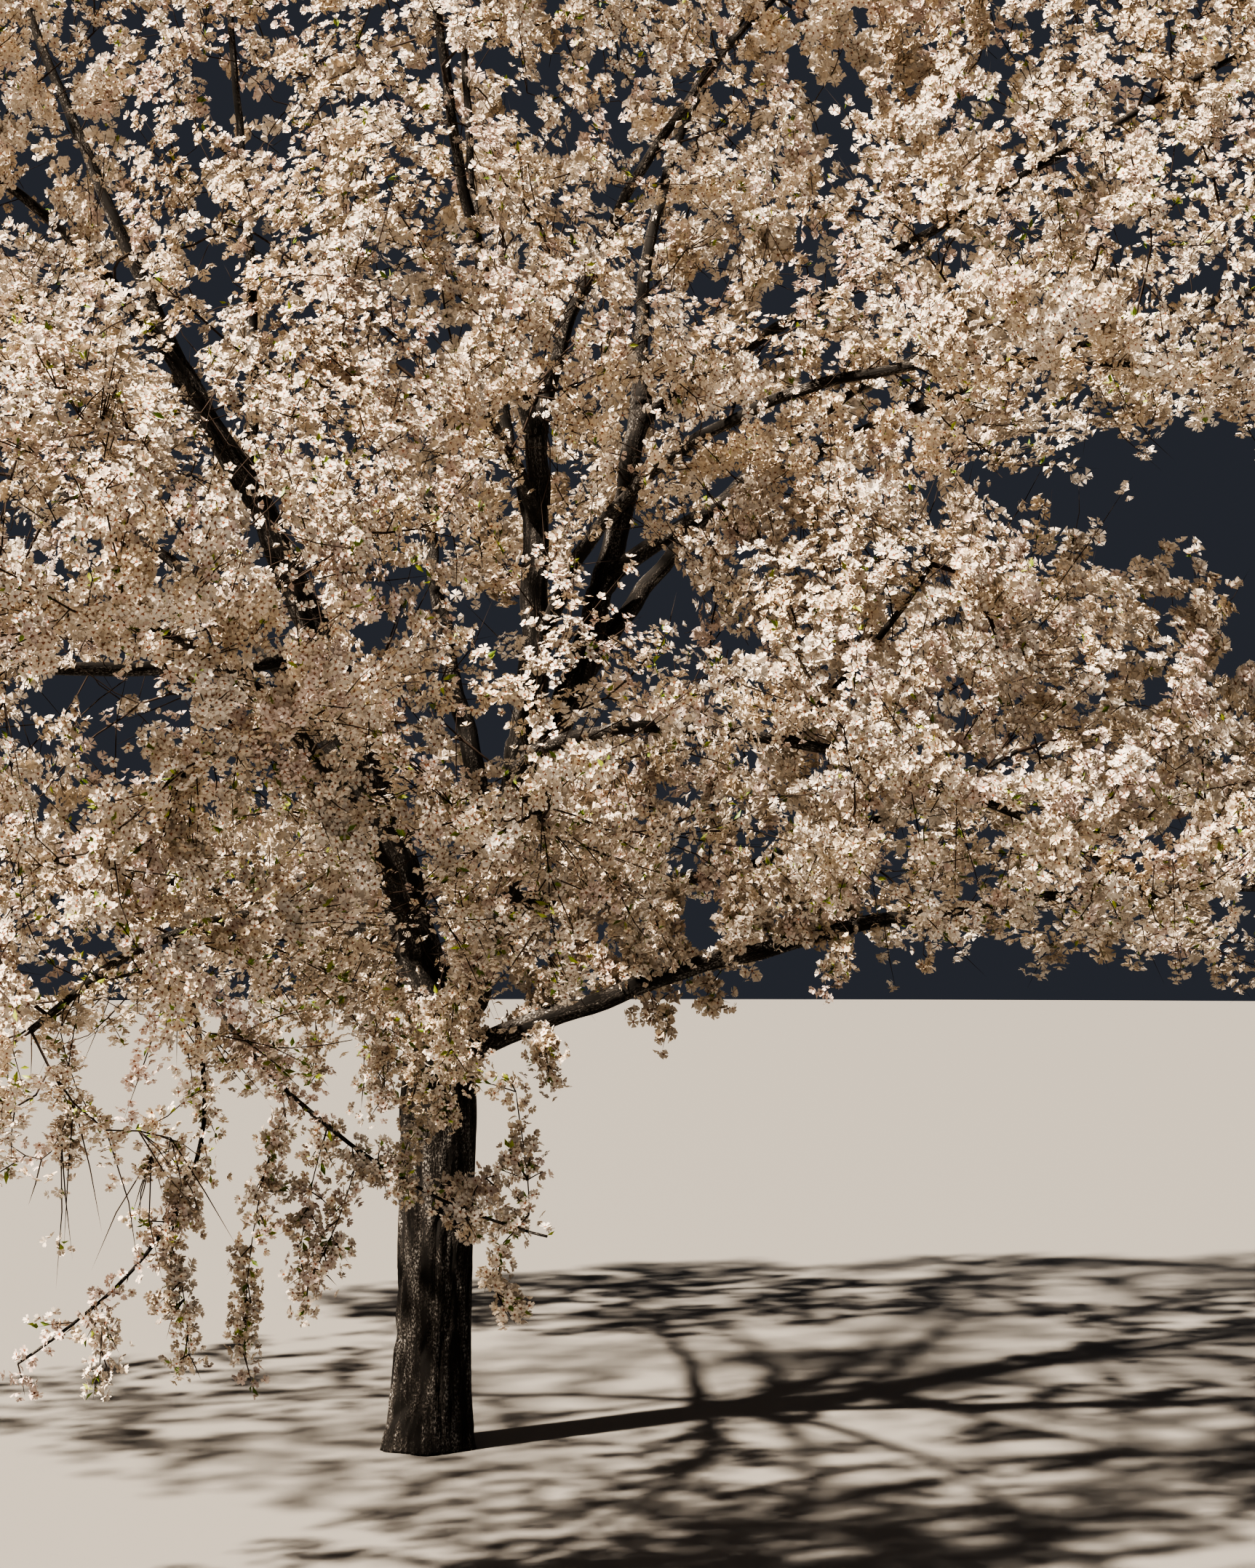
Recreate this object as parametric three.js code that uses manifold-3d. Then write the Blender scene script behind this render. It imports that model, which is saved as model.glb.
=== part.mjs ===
// White cherry blossom tree in full bloom: a short trunk that forks low, spreading boughs and
// the masses of blossom they carry. Lengths are in millimetres, angles in degrees, +Z is up,
// +X is to the viewer's right, -Y is towards the viewer, and the ground is z = 0.
import * as THREE from "three";
import { mergeVertices } from "three/addons/utils/BufferGeometryUtils.js";
import Module from "manifold-3d";

const wasm = await Module();
wasm.setup();

// Clearance between pieces that meet
const GAP = 0.3;

// Trunk
const TRUNK_HEIGHT = 1200;
const TRUNK_CROWN = 40;
const TRUNK_WAIST_RADIUS = 108;
const TRUNK_FORK_RADIUS = 122;
const TRUNK_LEAN = 24;
const ROOT_FLARE = 30;
const ROOT_FLARE_HEIGHT = 170;
const ROOT_RIDGES = 5;
const ROOT_RIDGE_SHARE = 0.09;
const TRUNK_SIDES = 14;
const TRUNK_RINGS = 7;

// Boughs
const PATH_STEPS = 12;
const BOUGH_RINGS = 7;
const BOUGH_SIDES = 5;
const TAPER_POWER = 0.8;
const SOCKET_DEPTH = 100;
const CARRIED_AT_TIP = 0.7;

// Masses of blossom
const MASS_DETAIL = 2;
const SMALL_MASS_DETAIL = 1;
const SMALL_MASS_HEIGHT = 350;
const MASS_LUMPS = 12;
const MASS_LEAST_REACH = 0.72;
const MASS_MOST_REACH = 1.08;
const MASS_LUMP_RISE = 0.22;
const MASS_LUMP_SPREAD = 7;
const MASS_ROUGHNESS = 0.08;
const MASS_FLAT_UNDERSIDE = 0.82;
const FIRST_SEED = 101;
const SEED_STEP = 17;

// Each bough: the limb it leaves and the share of that limb's length where it does, its bearing and
// its rise where it leaves, the same two at its tip, its length, and its radius at both ends.
// Bearings turn from +X towards +Y. Bearing and rise change evenly along the bough.
const BOUGHS = {
  stem_left: ["trunk", 0.97, 172, 80, 162, 56, 2280, 78, 34],
  stem_centre: ["trunk", 0.97, 10, 66, 108, 91, 2030, 84, 32],
  stem_right: ["stem_centre", 0.33, 52, 55, 48, 78, 1620, 58, 32],
  bough_left_high: ["stem_left", 0.98, 160, 63, 166, 68, 1960, 27, 9],
  bough_left: ["stem_left", 0.96, 210, 56, 187, 15, 1690, 24, 8],
  bough_left_inner: ["stem_left", 0.82, 87, 59, 142, 89, 2180, 24, 8],
  bough_left_middle: ["stem_left", 0.56, 226, -14, 198, 20, 2200, 29, 8],
  bough_left_low: ["stem_left", 0.13, 171, 22, 201, -6, 2230, 34, 9],
  bough_centre: ["stem_centre", 0.97, 197, 68, 259, 83, 1850, 28, 9],
  bough_centre_right: ["stem_centre", 0.98, 37, 74, 8, 44, 2000, 28, 9],
  bough_right_back: ["stem_right", 0.98, 95, 70, 27, 54, 1880, 29, 9],
  bough_right_high: ["stem_right", 0.95, -16, 32, 1, 28, 2460, 24, 8],
  bough_right: ["stem_right", 0.61, -38, 25, -5, 14, 2240, 31, 9],
  bough_right_front: ["stem_centre", 0.5, -83, 48, -7, -16, 2850, 30, 8],
  bough_low_right: ["trunk", 0.94, 0, 25, 0, -4, 2870, 40, 9],
  bough_low_back_right: ["stem_centre", 0.24, 51, 1, 34, 25, 2600, 32, 9],
  bough_front_right: ["stem_centre", 0.35, -96, 24, 17, -34, 2720, 28, 8],
  bough_right_middle: ["bough_front_right", 0.62, -11, 46, 15, 55, 590, 13, 7],
  bough_front_left: ["stem_left", 0.13, 258, 38, 258, -7, 2740, 40, 9],
  bough_front_left_low: ["trunk", 0.97, 255, 33, 251, -26, 2510, 34, 8],
  bough_front: ["stem_centre", 0.06, 282, 36, 276, -10, 2250, 32, 8],
  bough_front_high: ["stem_centre", 0.84, 264, 13, 269, -15, 1960, 24, 8],
  spray_left: ["bough_front_left_low", 0.74, 336, -70, 175, -33, 1200, 10, 5],
  spray_front: ["bough_front_left_low", 0.74, 340, -59, 333, -9, 1220, 9, 5],
  bough_back_left: ["stem_left", 0.25, 124, 46, 135, 16, 3050, 42, 9],
  bough_back: ["stem_centre", 0.28, 114, 55, 84, 23, 3010, 40, 9],
  bough_back_low: ["trunk", 0.96, 111, 33, 100, -6, 2450, 38, 9],
  bough_back_right: ["stem_right", 0.33, 56, 46, 43, 24, 2720, 36, 9],
  bough_back_high: ["stem_centre", 0.81, 115, 55, 93, 73, 2690, 26, 9],
};

// Each mass of blossom: the bough that carries it and the share of the bough's length it is
// centred on, how far its centre is moved from there to the right, back and up, and its half
// width, half depth and half height.
const MASSES = {
  mass_left_front: ["bough_front_left", 1, [60, 40, 60], [840, 740, 520]],
  mass_left_front_upper: ["bough_front_left", 0.66, [60, 0, 500], [840, 760, 550]],
  mass_left_front_lower: ["bough_front_left_low", 0.97, [0, 60, 40], [820, 810, 550]],
  mass_left_inner_lower: ["bough_front_left_low", 0.52, [-160, 60, 40], [760, 720, 600]],
  mass_front: ["bough_front", 0.93, [-20, 0, -40], [600, 780, 590]],
  mass_front_upper: ["bough_front_high", 0.8, [10, 60, 40], [730, 960, 600]],
  mass_left: ["bough_left_middle", 0.93, [60, 0, 40], [1170, 1010, 800]],
  mass_left_lower: ["bough_left_low", 0.93, [60, 120, 20], [1120, 1220, 680]],
  mass_left_upper: ["bough_left", 0.93, [60, -60, -40], [1100, 1120, 820]],
  mass_upper_left: ["stem_left", 0.99, [150, -260, 300], [930, 870, 800]],
  mass_top_left: ["bough_left_high", 0.94, [60, -60, -60], [930, 960, 950]],
  mass_top_left_inner: ["bough_left_inner", 0.95, [0, 60, 120], [760, 900, 1000]],
  mass_top_centre: ["bough_centre", 0.95, [0, -60, 200], [890, 920, 1000]],
  mass_upper_centre: ["bough_centre", 0.45, [160, -160, 0], [890, 850, 700]],
  mass_top_right: ["bough_centre_right", 0.85, [60, 200, 0], [1060, 1120, 900]],
  mass_top_back: ["bough_back_high", 0.95, [-60, 60, 0], [970, 920, 950]],
  mass_right_upper: ["bough_right_high", 0.72, [60, -60, 0], [1350, 960, 650]],
  mass_right_front: ["bough_right_front", 0.9, [20, 60, 30], [760, 740, 370]],
  mass_right_front_inner: ["bough_right_front", 0.6, [80, 60, -20], [690, 690, 420]],
  mass_right: ["bough_right", 0.95, [60, 40, 0], [860, 900, 460]],
  mass_right_cluster: ["bough_right_middle", 0.8, [-200, 60, -30], [620, 520, 400]],
  mass_right_front_lower: ["bough_front_right", 0.9, [0, 60, -40], [890, 720, 370]],
  mass_right_lower: ["bough_low_right", 0.8, [0, 60, 20], [1240, 920, 430]],
  mass_right_back_lower: ["bough_low_back_right", 0.92, [150, -40, 200], [1300, 1080, 780]],
  mass_back_right: ["bough_back_right", 0.92, [0, 0, 120], [1060, 1080, 680]],
  mass_back: ["bough_back", 0.95, [0, 0, 20], [1080, 960, 920]],
  mass_back_left: ["bough_back_left", 0.93, [0, 0, 20], [1130, 1120, 980]],
  mass_back_lower: ["bough_back_low", 0.92, [-130, 0, 100], [1480, 1060, 720]],
  mass_hanging_left: ["spray_left", 0.78, [20, 0, -20], [330, 230, 300]],
  mass_hanging_front: ["spray_front", 0.86, [0, 0, -20], [330, 200, 190]],
};

const radians = THREE.MathUtils.degToRad;

// Seeded random numbers from 0 to 1
function randomNumbers(seed) {
  let state = seed >>> 0;
  return () => {
    state = (state + 0x6d2b79f5) >>> 0;
    let t = state;
    t = Math.imul(t ^ (t >>> 15), t | 1);
    t ^= t + Math.imul(t ^ (t >>> 7), t | 61);
    return ((t ^ (t >>> 14)) >>> 0) / 4294967296;
  };
}

// A unit vector for a bearing and a rise
function heading(bearing, rise) {
  const level = Math.cos(radians(rise));
  return new THREE.Vector3(
    level * Math.cos(radians(bearing)),
    level * Math.sin(radians(bearing)),
    Math.sin(radians(rise)),
  );
}

// The trunk's centre at a share of its height
function trunkCentre(share) {
  const lean = TRUNK_LEAN * Math.sin((share * Math.PI) / 2);
  return new THREE.Vector3(lean, 0, share * TRUNK_HEIGHT);
}

// The trunk's radius at a height, with ridges running into the roots near the ground
function trunkRadius(height, bearing) {
  const share = height / TRUNK_HEIGHT;
  const swell = (TRUNK_FORK_RADIUS - TRUNK_WAIST_RADIUS) * share * share;
  const flare = Math.exp(-height / ROOT_FLARE_HEIGHT);
  const ridge = 1 + ROOT_RIDGE_SHARE * flare * Math.cos(ROOT_RIDGES * bearing + 1);
  return (TRUNK_WAIST_RADIUS + swell + ROOT_FLARE * flare) * ridge;
}

// A closed surface through rings of points, with a flat face or a point at each end
function loft(rings) {
  const sides = rings[0].length;
  const points = rings.flat();
  const faces = [];
  for (let r = 0; r + 1 < rings.length; r++) {
    for (let s = 0; s < sides; s++) {
      const a = r * sides + s;
      const b = r * sides + ((s + 1) % sides);
      faces.push(a, b, b + sides, a, b + sides, a + sides);
    }
  }
  const last = (rings.length - 1) * sides;
  for (let s = 1; s + 1 < sides; s++) {
    faces.push(0, s + 1, s);
    faces.push(last, last + s, last + s + 1);
  }
  return new THREE.BufferGeometry().setFromPoints(points).setIndex(faces);
}

// The trunk from its flat cut at the ground to the fork
function trunkGeometry(grown) {
  const rings = [];
  for (let r = 0; r <= TRUNK_RINGS; r++) {
    const share = (r / TRUNK_RINGS) ** 1.6;
    rings.push(trunkRing(share, share * TRUNK_HEIGHT, grown));
  }
  const crown = trunkRing(1, TRUNK_HEIGHT, -TRUNK_FORK_RADIUS * 0.45);
  crown.forEach((p) => (p.z += TRUNK_CROWN + grown));
  rings.push(crown);
  return loft(rings);
}

function trunkRing(share, height, grown) {
  const centre = trunkCentre(share);
  const ring = [];
  for (let s = 0; s < TRUNK_SIDES; s++) {
    const bearing = (s / TRUNK_SIDES) * 2 * Math.PI;
    const radius = trunkRadius(height, bearing) + grown;
    ring.push(
      new THREE.Vector3(radius * Math.cos(bearing), radius * Math.sin(bearing), 0).add(centre),
    );
  }
  return ring;
}

// The centre line of a bough, walked in equal steps while its heading turns
function boughPath(start, [bearing, rise, tipBearing, tipRise, length]) {
  const path = [start.clone()];
  for (let i = 0; i < PATH_STEPS; i++) {
    const share = (i + 0.5) / PATH_STEPS;
    const step = heading(
      THREE.MathUtils.lerp(bearing, tipBearing, share),
      THREE.MathUtils.lerp(rise, tipRise, share),
    );
    path.push(path[i].clone().addScaledVector(step, length / PATH_STEPS));
  }
  return path;
}

// The point at a share of a centre line's length
function along(path, share) {
  const place = THREE.MathUtils.clamp(share, 0, 1) * (path.length - 1);
  const i = Math.min(Math.floor(place), path.length - 2);
  return path[i].clone().lerp(path[i + 1], place - i);
}

// A tapering round bough about its centre line, as far as a share of the line's length
function boughGeometry({ path, baseRadius, tipRadius, reach }, grown) {
  const rings = [];
  let last = new THREE.Vector3(0.31, 0.94, 0.12);
  for (let i = 0; i < BOUGH_RINGS; i++) {
    const share = (i / (BOUGH_RINGS - 1)) * reach;
    const centre = along(path, share);
    const forward = along(path, share + 0.04).sub(along(path, share - 0.04)).normalize();
    const side = last.clone().addScaledVector(forward, -last.dot(forward)).normalize();
    const across = new THREE.Vector3().crossVectors(forward, side);
    const taper = THREE.MathUtils.lerp(baseRadius, tipRadius, share ** TAPER_POWER);
    if (i === 0) centre.addScaledVector(forward, -grown);
    if (i === BOUGH_RINGS - 1) centre.addScaledVector(forward, grown);
    rings.push(boughRing(centre, side, across, taper + grown / Math.cos(Math.PI / BOUGH_SIDES)));
    last = side;
  }
  return loft(rings);
}

function boughRing(centre, side, across, radius) {
  const ring = [];
  for (let s = 0; s < BOUGH_SIDES; s++) {
    const turn = (s / BOUGH_SIDES) * 2 * Math.PI;
    ring.push(
      centre
        .clone()
        .addScaledVector(side, radius * Math.cos(turn))
        .addScaledVector(across, radius * Math.sin(turn)),
    );
  }
  return ring;
}

// The lumps that make one mass's outline its own: their directions and rises
function massLumps(random) {
  const lumps = [];
  for (let i = 0; i < MASS_LUMPS; i++) {
    const turn = random() * 2 * Math.PI;
    const height = THREE.MathUtils.lerp(-0.7, 1, random());
    const level = Math.sqrt(1 - height * height);
    lumps.push({
      towards: new THREE.Vector3(level * Math.cos(turn), level * Math.sin(turn), height),
      rise: MASS_LUMP_RISE * (0.5 + random()),
    });
  }
  return lumps;
}

// How far a mass reaches in a direction, as a share of its half sizes
function massReach(direction, lumps) {
  let reach = MASS_LEAST_REACH;
  for (const lump of lumps) {
    const facing = Math.max(0, direction.dot(lump.towards));
    reach += lump.rise * facing ** MASS_LUMP_SPREAD;
  }
  const flattened = THREE.MathUtils.lerp(1, MASS_FLAT_UNDERSIDE, Math.max(0, -direction.z));
  return Math.min(reach, MASS_MOST_REACH) * flattened;
}

// Flat limits between a mass and each neighbour, so that the two meet without overlapping
function massLimits(mass, others) {
  const limits = [];
  for (const other of others) {
    if (other === mass) continue;
    const towards = other.centre.clone().sub(mass.centre);
    const distance = towards.length();
    towards.divideScalar(distance);
    const own = spanTowards(mass.half, towards);
    const theirs = spanTowards(other.half, towards);
    limits.push({ towards, most: (distance * own) / (own + theirs) - GAP });
  }
  return limits;
}

function spanTowards(half, towards) {
  return Math.hypot(half.x * towards.x, half.y * towards.y, half.z * towards.z);
}

// Where every mass is and how far it may reach
function planMasses(paths) {
  const masses = Object.entries(MASSES).map(([name, [bough, share, moved, half]], i) => {
    const random = randomNumbers(FIRST_SEED + i * SEED_STEP);
    const centre = along(paths[bough], share).add(new THREE.Vector3(...moved));
    const lumps = massLumps(random);
    return { name, bough, share, centre, half: new THREE.Vector3(...half), lumps, random };
  });
  for (const mass of masses) mass.limits = massLimits(mass, masses);
  return masses;
}

function isInMass(mass, point) {
  const out = point.clone().sub(mass.centre);
  if (mass.limits.some((limit) => out.dot(limit.towards) > limit.most)) return false;
  const scaled = out.divide(mass.half);
  const far = scaled.length();
  return far < massReach(scaled.normalize(), mass.lumps);
}

// The share of a bough's length that shows: it ends in a socket just inside the mass it carries
function boughReach(name, path, length, masses) {
  const carried = masses.find((mass) => mass.bough === name && mass.share >= CARRIED_AT_TIP);
  if (!carried) return 1;
  for (let share = 0; share < 1; share += 0.01) {
    if (isInMass(carried, along(path, share))) return Math.min(1, share + SOCKET_DEPTH / length);
  }
  return 1;
}

// One uneven closed mass of blossom
function massGeometry({ centre, half, lumps, limits, random }) {
  const detail = half.z < SMALL_MASS_HEIGHT ? SMALL_MASS_DETAIL : MASS_DETAIL;
  const shape = mergeVertices(positionsOnly(new THREE.IcosahedronGeometry(1, detail)), 1e-4);
  const corners = shape.getAttribute("position");
  const corner = new THREE.Vector3();
  for (let i = 0; i < corners.count; i++) {
    corner.fromBufferAttribute(corners, i);
    const rough = 1 + MASS_ROUGHNESS * (2 * random() - 1);
    const reach = massReach(corner, lumps) * rough;
    corner.multiply(half).multiplyScalar(reach);
    for (const limit of limits) {
      const out = corner.dot(limit.towards);
      if (out > limit.most) corner.multiplyScalar(limit.most / out);
    }
    corner.add(centre);
    corners.setXYZ(i, corner.x, corner.y, corner.z);
  }
  return shape;
}

function positionsOnly(geometry) {
  return new THREE.BufferGeometry().setAttribute("position", geometry.getAttribute("position"));
}

// A geometry as a solid that can be cut
function solidOf(geometry) {
  return new wasm.Manifold(
    new wasm.Mesh({
      numProp: 3,
      vertProperties: new Float32Array(geometry.getAttribute("position").array),
      triVerts: new Uint32Array(geometry.index.array),
    }),
  );
}

// The largest single body of a solid
function mainBody(solid) {
  const bodies = solid.decompose();
  return bodies.reduce((a, b) => (b.volume() > a.volume() ? b : a));
}

function geometryOf(solid) {
  const mesh = solid.getMesh();
  const geometry = new THREE.BufferGeometry();
  geometry.setAttribute("position", new THREE.BufferAttribute(mesh.vertProperties, 3));
  geometry.setIndex(new THREE.BufferAttribute(mesh.triVerts, 1));
  geometry.computeVertexNormals();
  return geometry;
}

function barkMaterial() {
  return new THREE.MeshStandardMaterial({ color: 0x4a3a30, roughness: 0.9, flatShading: true });
}

function blossomMaterial() {
  return new THREE.MeshStandardMaterial({ color: 0xf1e9df, roughness: 0.8, flatShading: true });
}

function namedMesh(name, solid, material) {
  const mesh = new THREE.Mesh(geometryOf(solid), material);
  mesh.name = name;
  return mesh;
}

// The centre line of every limb
function limbPaths() {
  const paths = { trunk: [trunkCentre(0), trunkCentre(0.5), trunkCentre(1)] };
  for (const [name, [parent, share, ...course]] of Object.entries(BOUGHS)) {
    paths[name] = boughPath(along(paths[parent], share), course);
  }
  return paths;
}

// Trunk and boughs, each cut to fit the ones before it
function woodPieces(paths, masses) {
  const pieces = [{ name: "trunk", solid: solidOf(trunkGeometry(0)) }];
  const cutters = [solidOf(trunkGeometry(GAP))];
  for (const [name, row] of Object.entries(BOUGHS)) {
    const [length, baseRadius, tipRadius] = row.slice(-3);
    const reach = boughReach(name, paths[name], length, masses);
    const bough = { path: paths[name], baseRadius, tipRadius, reach };
    const whole = solidOf(boughGeometry(bough, 0));
    pieces.push({ name, solid: mainBody(whole.subtract(wasm.Manifold.union(cutters))) });
    cutters.push(solidOf(boughGeometry(bough, GAP)));
  }
  return { pieces, cutters };
}

// Masses of blossom, each cut to fit the wood that runs into it
function blossomPieces(masses, cutters) {
  const wood = wasm.Manifold.union(cutters);
  return masses.map((mass) => ({
    name: mass.name,
    solid: mainBody(solidOf(massGeometry(mass)).subtract(wood)),
  }));
}

function makeTree() {
  const tree = new THREE.Group();
  tree.name = "white_cherry_tree";
  const paths = limbPaths();
  const masses = planMasses(paths);
  const { pieces, cutters } = woodPieces(paths, masses);
  for (const { name, solid } of pieces) tree.add(namedMesh(name, solid, barkMaterial()));
  for (const { name, solid } of blossomPieces(masses, cutters)) {
    tree.add(namedMesh(name, solid, blossomMaterial()));
  }
  return tree;
}

export default makeTree();
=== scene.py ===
# White cherry blossom tree in full bloom. Lengths are in metres, angles in degrees, +Z is up,
# +X is to the viewer's right and -Y is towards the viewer.
import math

import bpy
import numpy as np
from mathutils.bvhtree import BVHTree
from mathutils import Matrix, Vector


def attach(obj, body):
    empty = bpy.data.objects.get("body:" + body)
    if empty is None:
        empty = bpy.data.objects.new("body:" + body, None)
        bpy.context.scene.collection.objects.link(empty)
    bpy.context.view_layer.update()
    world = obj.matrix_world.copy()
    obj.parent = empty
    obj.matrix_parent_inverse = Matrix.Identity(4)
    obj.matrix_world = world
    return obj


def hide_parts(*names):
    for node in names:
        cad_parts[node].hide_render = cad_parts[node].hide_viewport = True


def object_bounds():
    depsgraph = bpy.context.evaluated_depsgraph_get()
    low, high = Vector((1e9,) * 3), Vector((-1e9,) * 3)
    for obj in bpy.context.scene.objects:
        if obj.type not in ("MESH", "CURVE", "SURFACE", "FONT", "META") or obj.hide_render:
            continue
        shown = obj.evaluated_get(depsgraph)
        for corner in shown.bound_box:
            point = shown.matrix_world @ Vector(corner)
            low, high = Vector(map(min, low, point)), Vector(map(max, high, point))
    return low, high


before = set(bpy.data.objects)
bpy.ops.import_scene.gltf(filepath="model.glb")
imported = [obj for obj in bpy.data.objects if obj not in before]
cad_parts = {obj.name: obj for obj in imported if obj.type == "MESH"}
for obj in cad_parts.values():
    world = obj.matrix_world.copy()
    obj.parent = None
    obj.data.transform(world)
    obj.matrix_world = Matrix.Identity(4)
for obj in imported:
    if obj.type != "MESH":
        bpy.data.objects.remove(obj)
cad_box = [list(corner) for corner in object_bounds()]

# Camera, at the photograph's viewing angle
CAMERA_PLACE = (0.59, -7.87, 1.5)
CAMERA_PITCH = 3.44
CAMERA_LENS = 60
FILM_WIDTH = 36
PHOTO_SIZE = (1725, 2156)
FLOOR_RADIUS = 60

# Trunk
TRUNK_HEIGHT = 1.2
TRUNK_CROWN = 0.04
TRUNK_WAIST_RADIUS = 0.108
TRUNK_FORK_RADIUS = 0.122
TRUNK_LEAN = 0.024
SHOULDER_HEIGHT = 0.26
SHOULDER_SHARE = 0.3
ROOT_FLARE = 0.03
ROOT_FLARE_HEIGHT = 0.17
ROOT_RIDGES = 5
ROOT_RIDGE_SHARE = 0.09

# Boughs
PATH_STEPS = 48
TAPER_POWER = 0.8
WAVER = 0.18
WAVER_LENGTH = 0.55
FINE_WAVER = 0.6
FINE_TURNS = 2.3
WAVER_MOST_RADIUS = 0.03
WAVER_FOOT = 0.3
JOINT_BLEND = 0.08
JOINT_INSIDE = 0.02
JOINT_ROUNDS = 3

# Sides and length of a ring on the trunk, a stem and a bough
TRUNK_RINGS = (96, 0.01)
STEM_RINGS = (24, 0.018)
BOUGH_RINGS = (10, 0.045)

# Each bough: the limb it leaves and the share of that limb's length where it does, its bearing and
# its rise where it leaves, the same two at its tip, its length, and its radius at both ends.
# Bearings turn from +X towards +Y. Bearing and rise change evenly along the bough.
BOUGHS = {
    "stem_left": ("trunk", 0.97, 172, 80, 162, 56, 2.28, 0.078, 0.034),
    "stem_centre": ("trunk", 0.97, 10, 66, 108, 91, 2.03, 0.084, 0.032),
    "stem_right": ("stem_centre", 0.33, 52, 55, 48, 78, 1.62, 0.058, 0.032),
    "bough_left_high": ("stem_left", 0.98, 160, 63, 166, 68, 1.96, 0.027, 0.009),
    "bough_left": ("stem_left", 0.96, 210, 56, 187, 15, 1.69, 0.024, 0.008),
    "bough_left_inner": ("stem_left", 0.82, 87, 59, 142, 89, 2.18, 0.024, 0.008),
    "bough_left_middle": ("stem_left", 0.56, 226, -14, 198, 20, 2.2, 0.029, 0.008),
    "bough_left_low": ("stem_left", 0.13, 171, 22, 201, -6, 2.23, 0.034, 0.009),
    "bough_centre": ("stem_centre", 0.97, 197, 68, 259, 83, 1.85, 0.028, 0.009),
    "bough_centre_right": ("stem_centre", 0.98, 37, 74, 8, 44, 2.0, 0.028, 0.009),
    "bough_right_back": ("stem_right", 0.98, 95, 70, 27, 54, 1.88, 0.029, 0.009),
    "bough_right_high": ("stem_right", 0.95, -16, 32, 1, 28, 2.46, 0.024, 0.008),
    "bough_right": ("stem_right", 0.61, -38, 25, -5, 14, 2.24, 0.031, 0.009),
    "bough_right_front": ("stem_centre", 0.5, -83, 48, -7, -16, 2.85, 0.03, 0.008),
    "bough_low_right": ("trunk", 0.94, 0, 25, 0, -4, 2.87, 0.04, 0.009),
    "bough_low_back_right": ("stem_centre", 0.24, 51, 1, 34, 25, 2.6, 0.032, 0.009),
    "bough_front_right": ("stem_centre", 0.35, -96, 24, 17, -34, 2.72, 0.028, 0.008),
    "bough_right_middle": ("bough_front_right", 0.62, -11, 46, 15, 55, 0.59, 0.013, 0.007),
    "bough_front_left": ("stem_left", 0.13, 258, 38, 258, -7, 2.74, 0.04, 0.009),
    "bough_front_left_low": ("trunk", 0.97, 255, 33, 251, -26, 2.51, 0.034, 0.008),
    "bough_front": ("stem_centre", 0.06, 282, 36, 276, -10, 2.25, 0.032, 0.008),
    "bough_front_high": ("stem_centre", 0.84, 264, 13, 269, -15, 1.96, 0.024, 0.008),
    "spray_left": ("bough_front_left_low", 0.74, 336, -70, 175, -33, 1.2, 0.008, 0.003),
    "spray_front": ("bough_front_left_low", 0.74, 340, -59, 333, -9, 1.22, 0.008, 0.003),
    "bough_back_left": ("stem_left", 0.25, 124, 46, 135, 16, 3.05, 0.042, 0.009),
    "bough_back": ("stem_centre", 0.28, 114, 55, 84, 23, 3.01, 0.04, 0.009),
    "bough_back_low": ("trunk", 0.96, 111, 33, 100, -6, 2.45, 0.038, 0.009),
    "bough_back_right": ("stem_right", 0.33, 56, 46, 43, 24, 2.72, 0.036, 0.009),
    "bough_back_high": ("stem_centre", 0.81, 115, 55, 93, 73, 2.69, 0.026, 0.009),
}

# Bark relief: plates with furrows between them that bend, fine grain and slow swells. Depths are
# shares of the limb's radius, and FURROW_SHARE is a furrow's share of a plate
PLATE_WIDTH = 0.03
PLATE_LENGTH = 0.2
FURROW_DEPTH = 0.08
FURROW_SHARE = 0.16
GRAIN_WIDTH = 0.009
GRAIN_LENGTH = 0.035
GRAIN_DEPTH = 0.012
SWELLS = 5
SWELL_LENGTH = 0.4
SWELL_DEPTH = 0.05
BENDS = 4
BEND_LENGTH = 0.25
BEND = 1.6
RELIEF_MOST_RADIUS = 0.12

# The crown's cells, and how many lie beyond the crown on each side
CELL = 0.1
CELL_MARGIN = 9

# Gaps between masses, up to twice this many cells wide and above this height, are filled where the
# photograph doesn't show them: out of its view, or in line with this depth of crown
GAP_CELLS = 7
GAP_HEIGHT = 1.7
GAP_COVER = 1.0

# How far one sees into the blossom, the share of the blossom dealt out evenly over the
# photograph's view, in squares of this many pixels, the depth of crown that takes a full share,
# the most one cell takes, and how much blossom calls for all the twigs
SEEN_DEPTH = 0.3
VIEW_SHARE = 0.44
VIEW_SQUARE = 60
SQUARES_ACROSS = 1000
THIN_CROWN = 0.45
MOST_NEED = 5
FULL_TWIGS = 1.2

# Branching rule: branches step towards open room in the masses
ROOM_JITTER = 0.42
BRANCH_ROOM = 0.46
BRANCH_STEP = 0.09
BRANCH_SIGHT = 1.5
BRANCH_NEAR = 0.26
TWIG_ROOM = 0.18
FINE_ROOM = 0.11
TWIG_STEP = 0.07
TWIG_SIGHT = 0.6
TWIG_NEAR = 0.09
LIMB_FOOT = 0.25
HEADING_STEP = 0.02
STIFFNESS = 0.6
WANDER = 0.18
ELBOW_ROOM = 0.45
MOST_ROUNDS = 120

# Twigs
TIP_RADIUS = 0.0015
PIPE_POWER = 2.25
TWIG_THINNING = 0.85
TWIG_EVENING = 0.0004
TWIG_FOOT = 1.15
TWIG_END = 0.6
THICK_TWIG = 0.005
THICK_SIDES = 5
THIN_SIDES = 3
BLOOMING_RADIUS = 0.006
BLOOMING_LIMB_RADIUS = 0.0105

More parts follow.
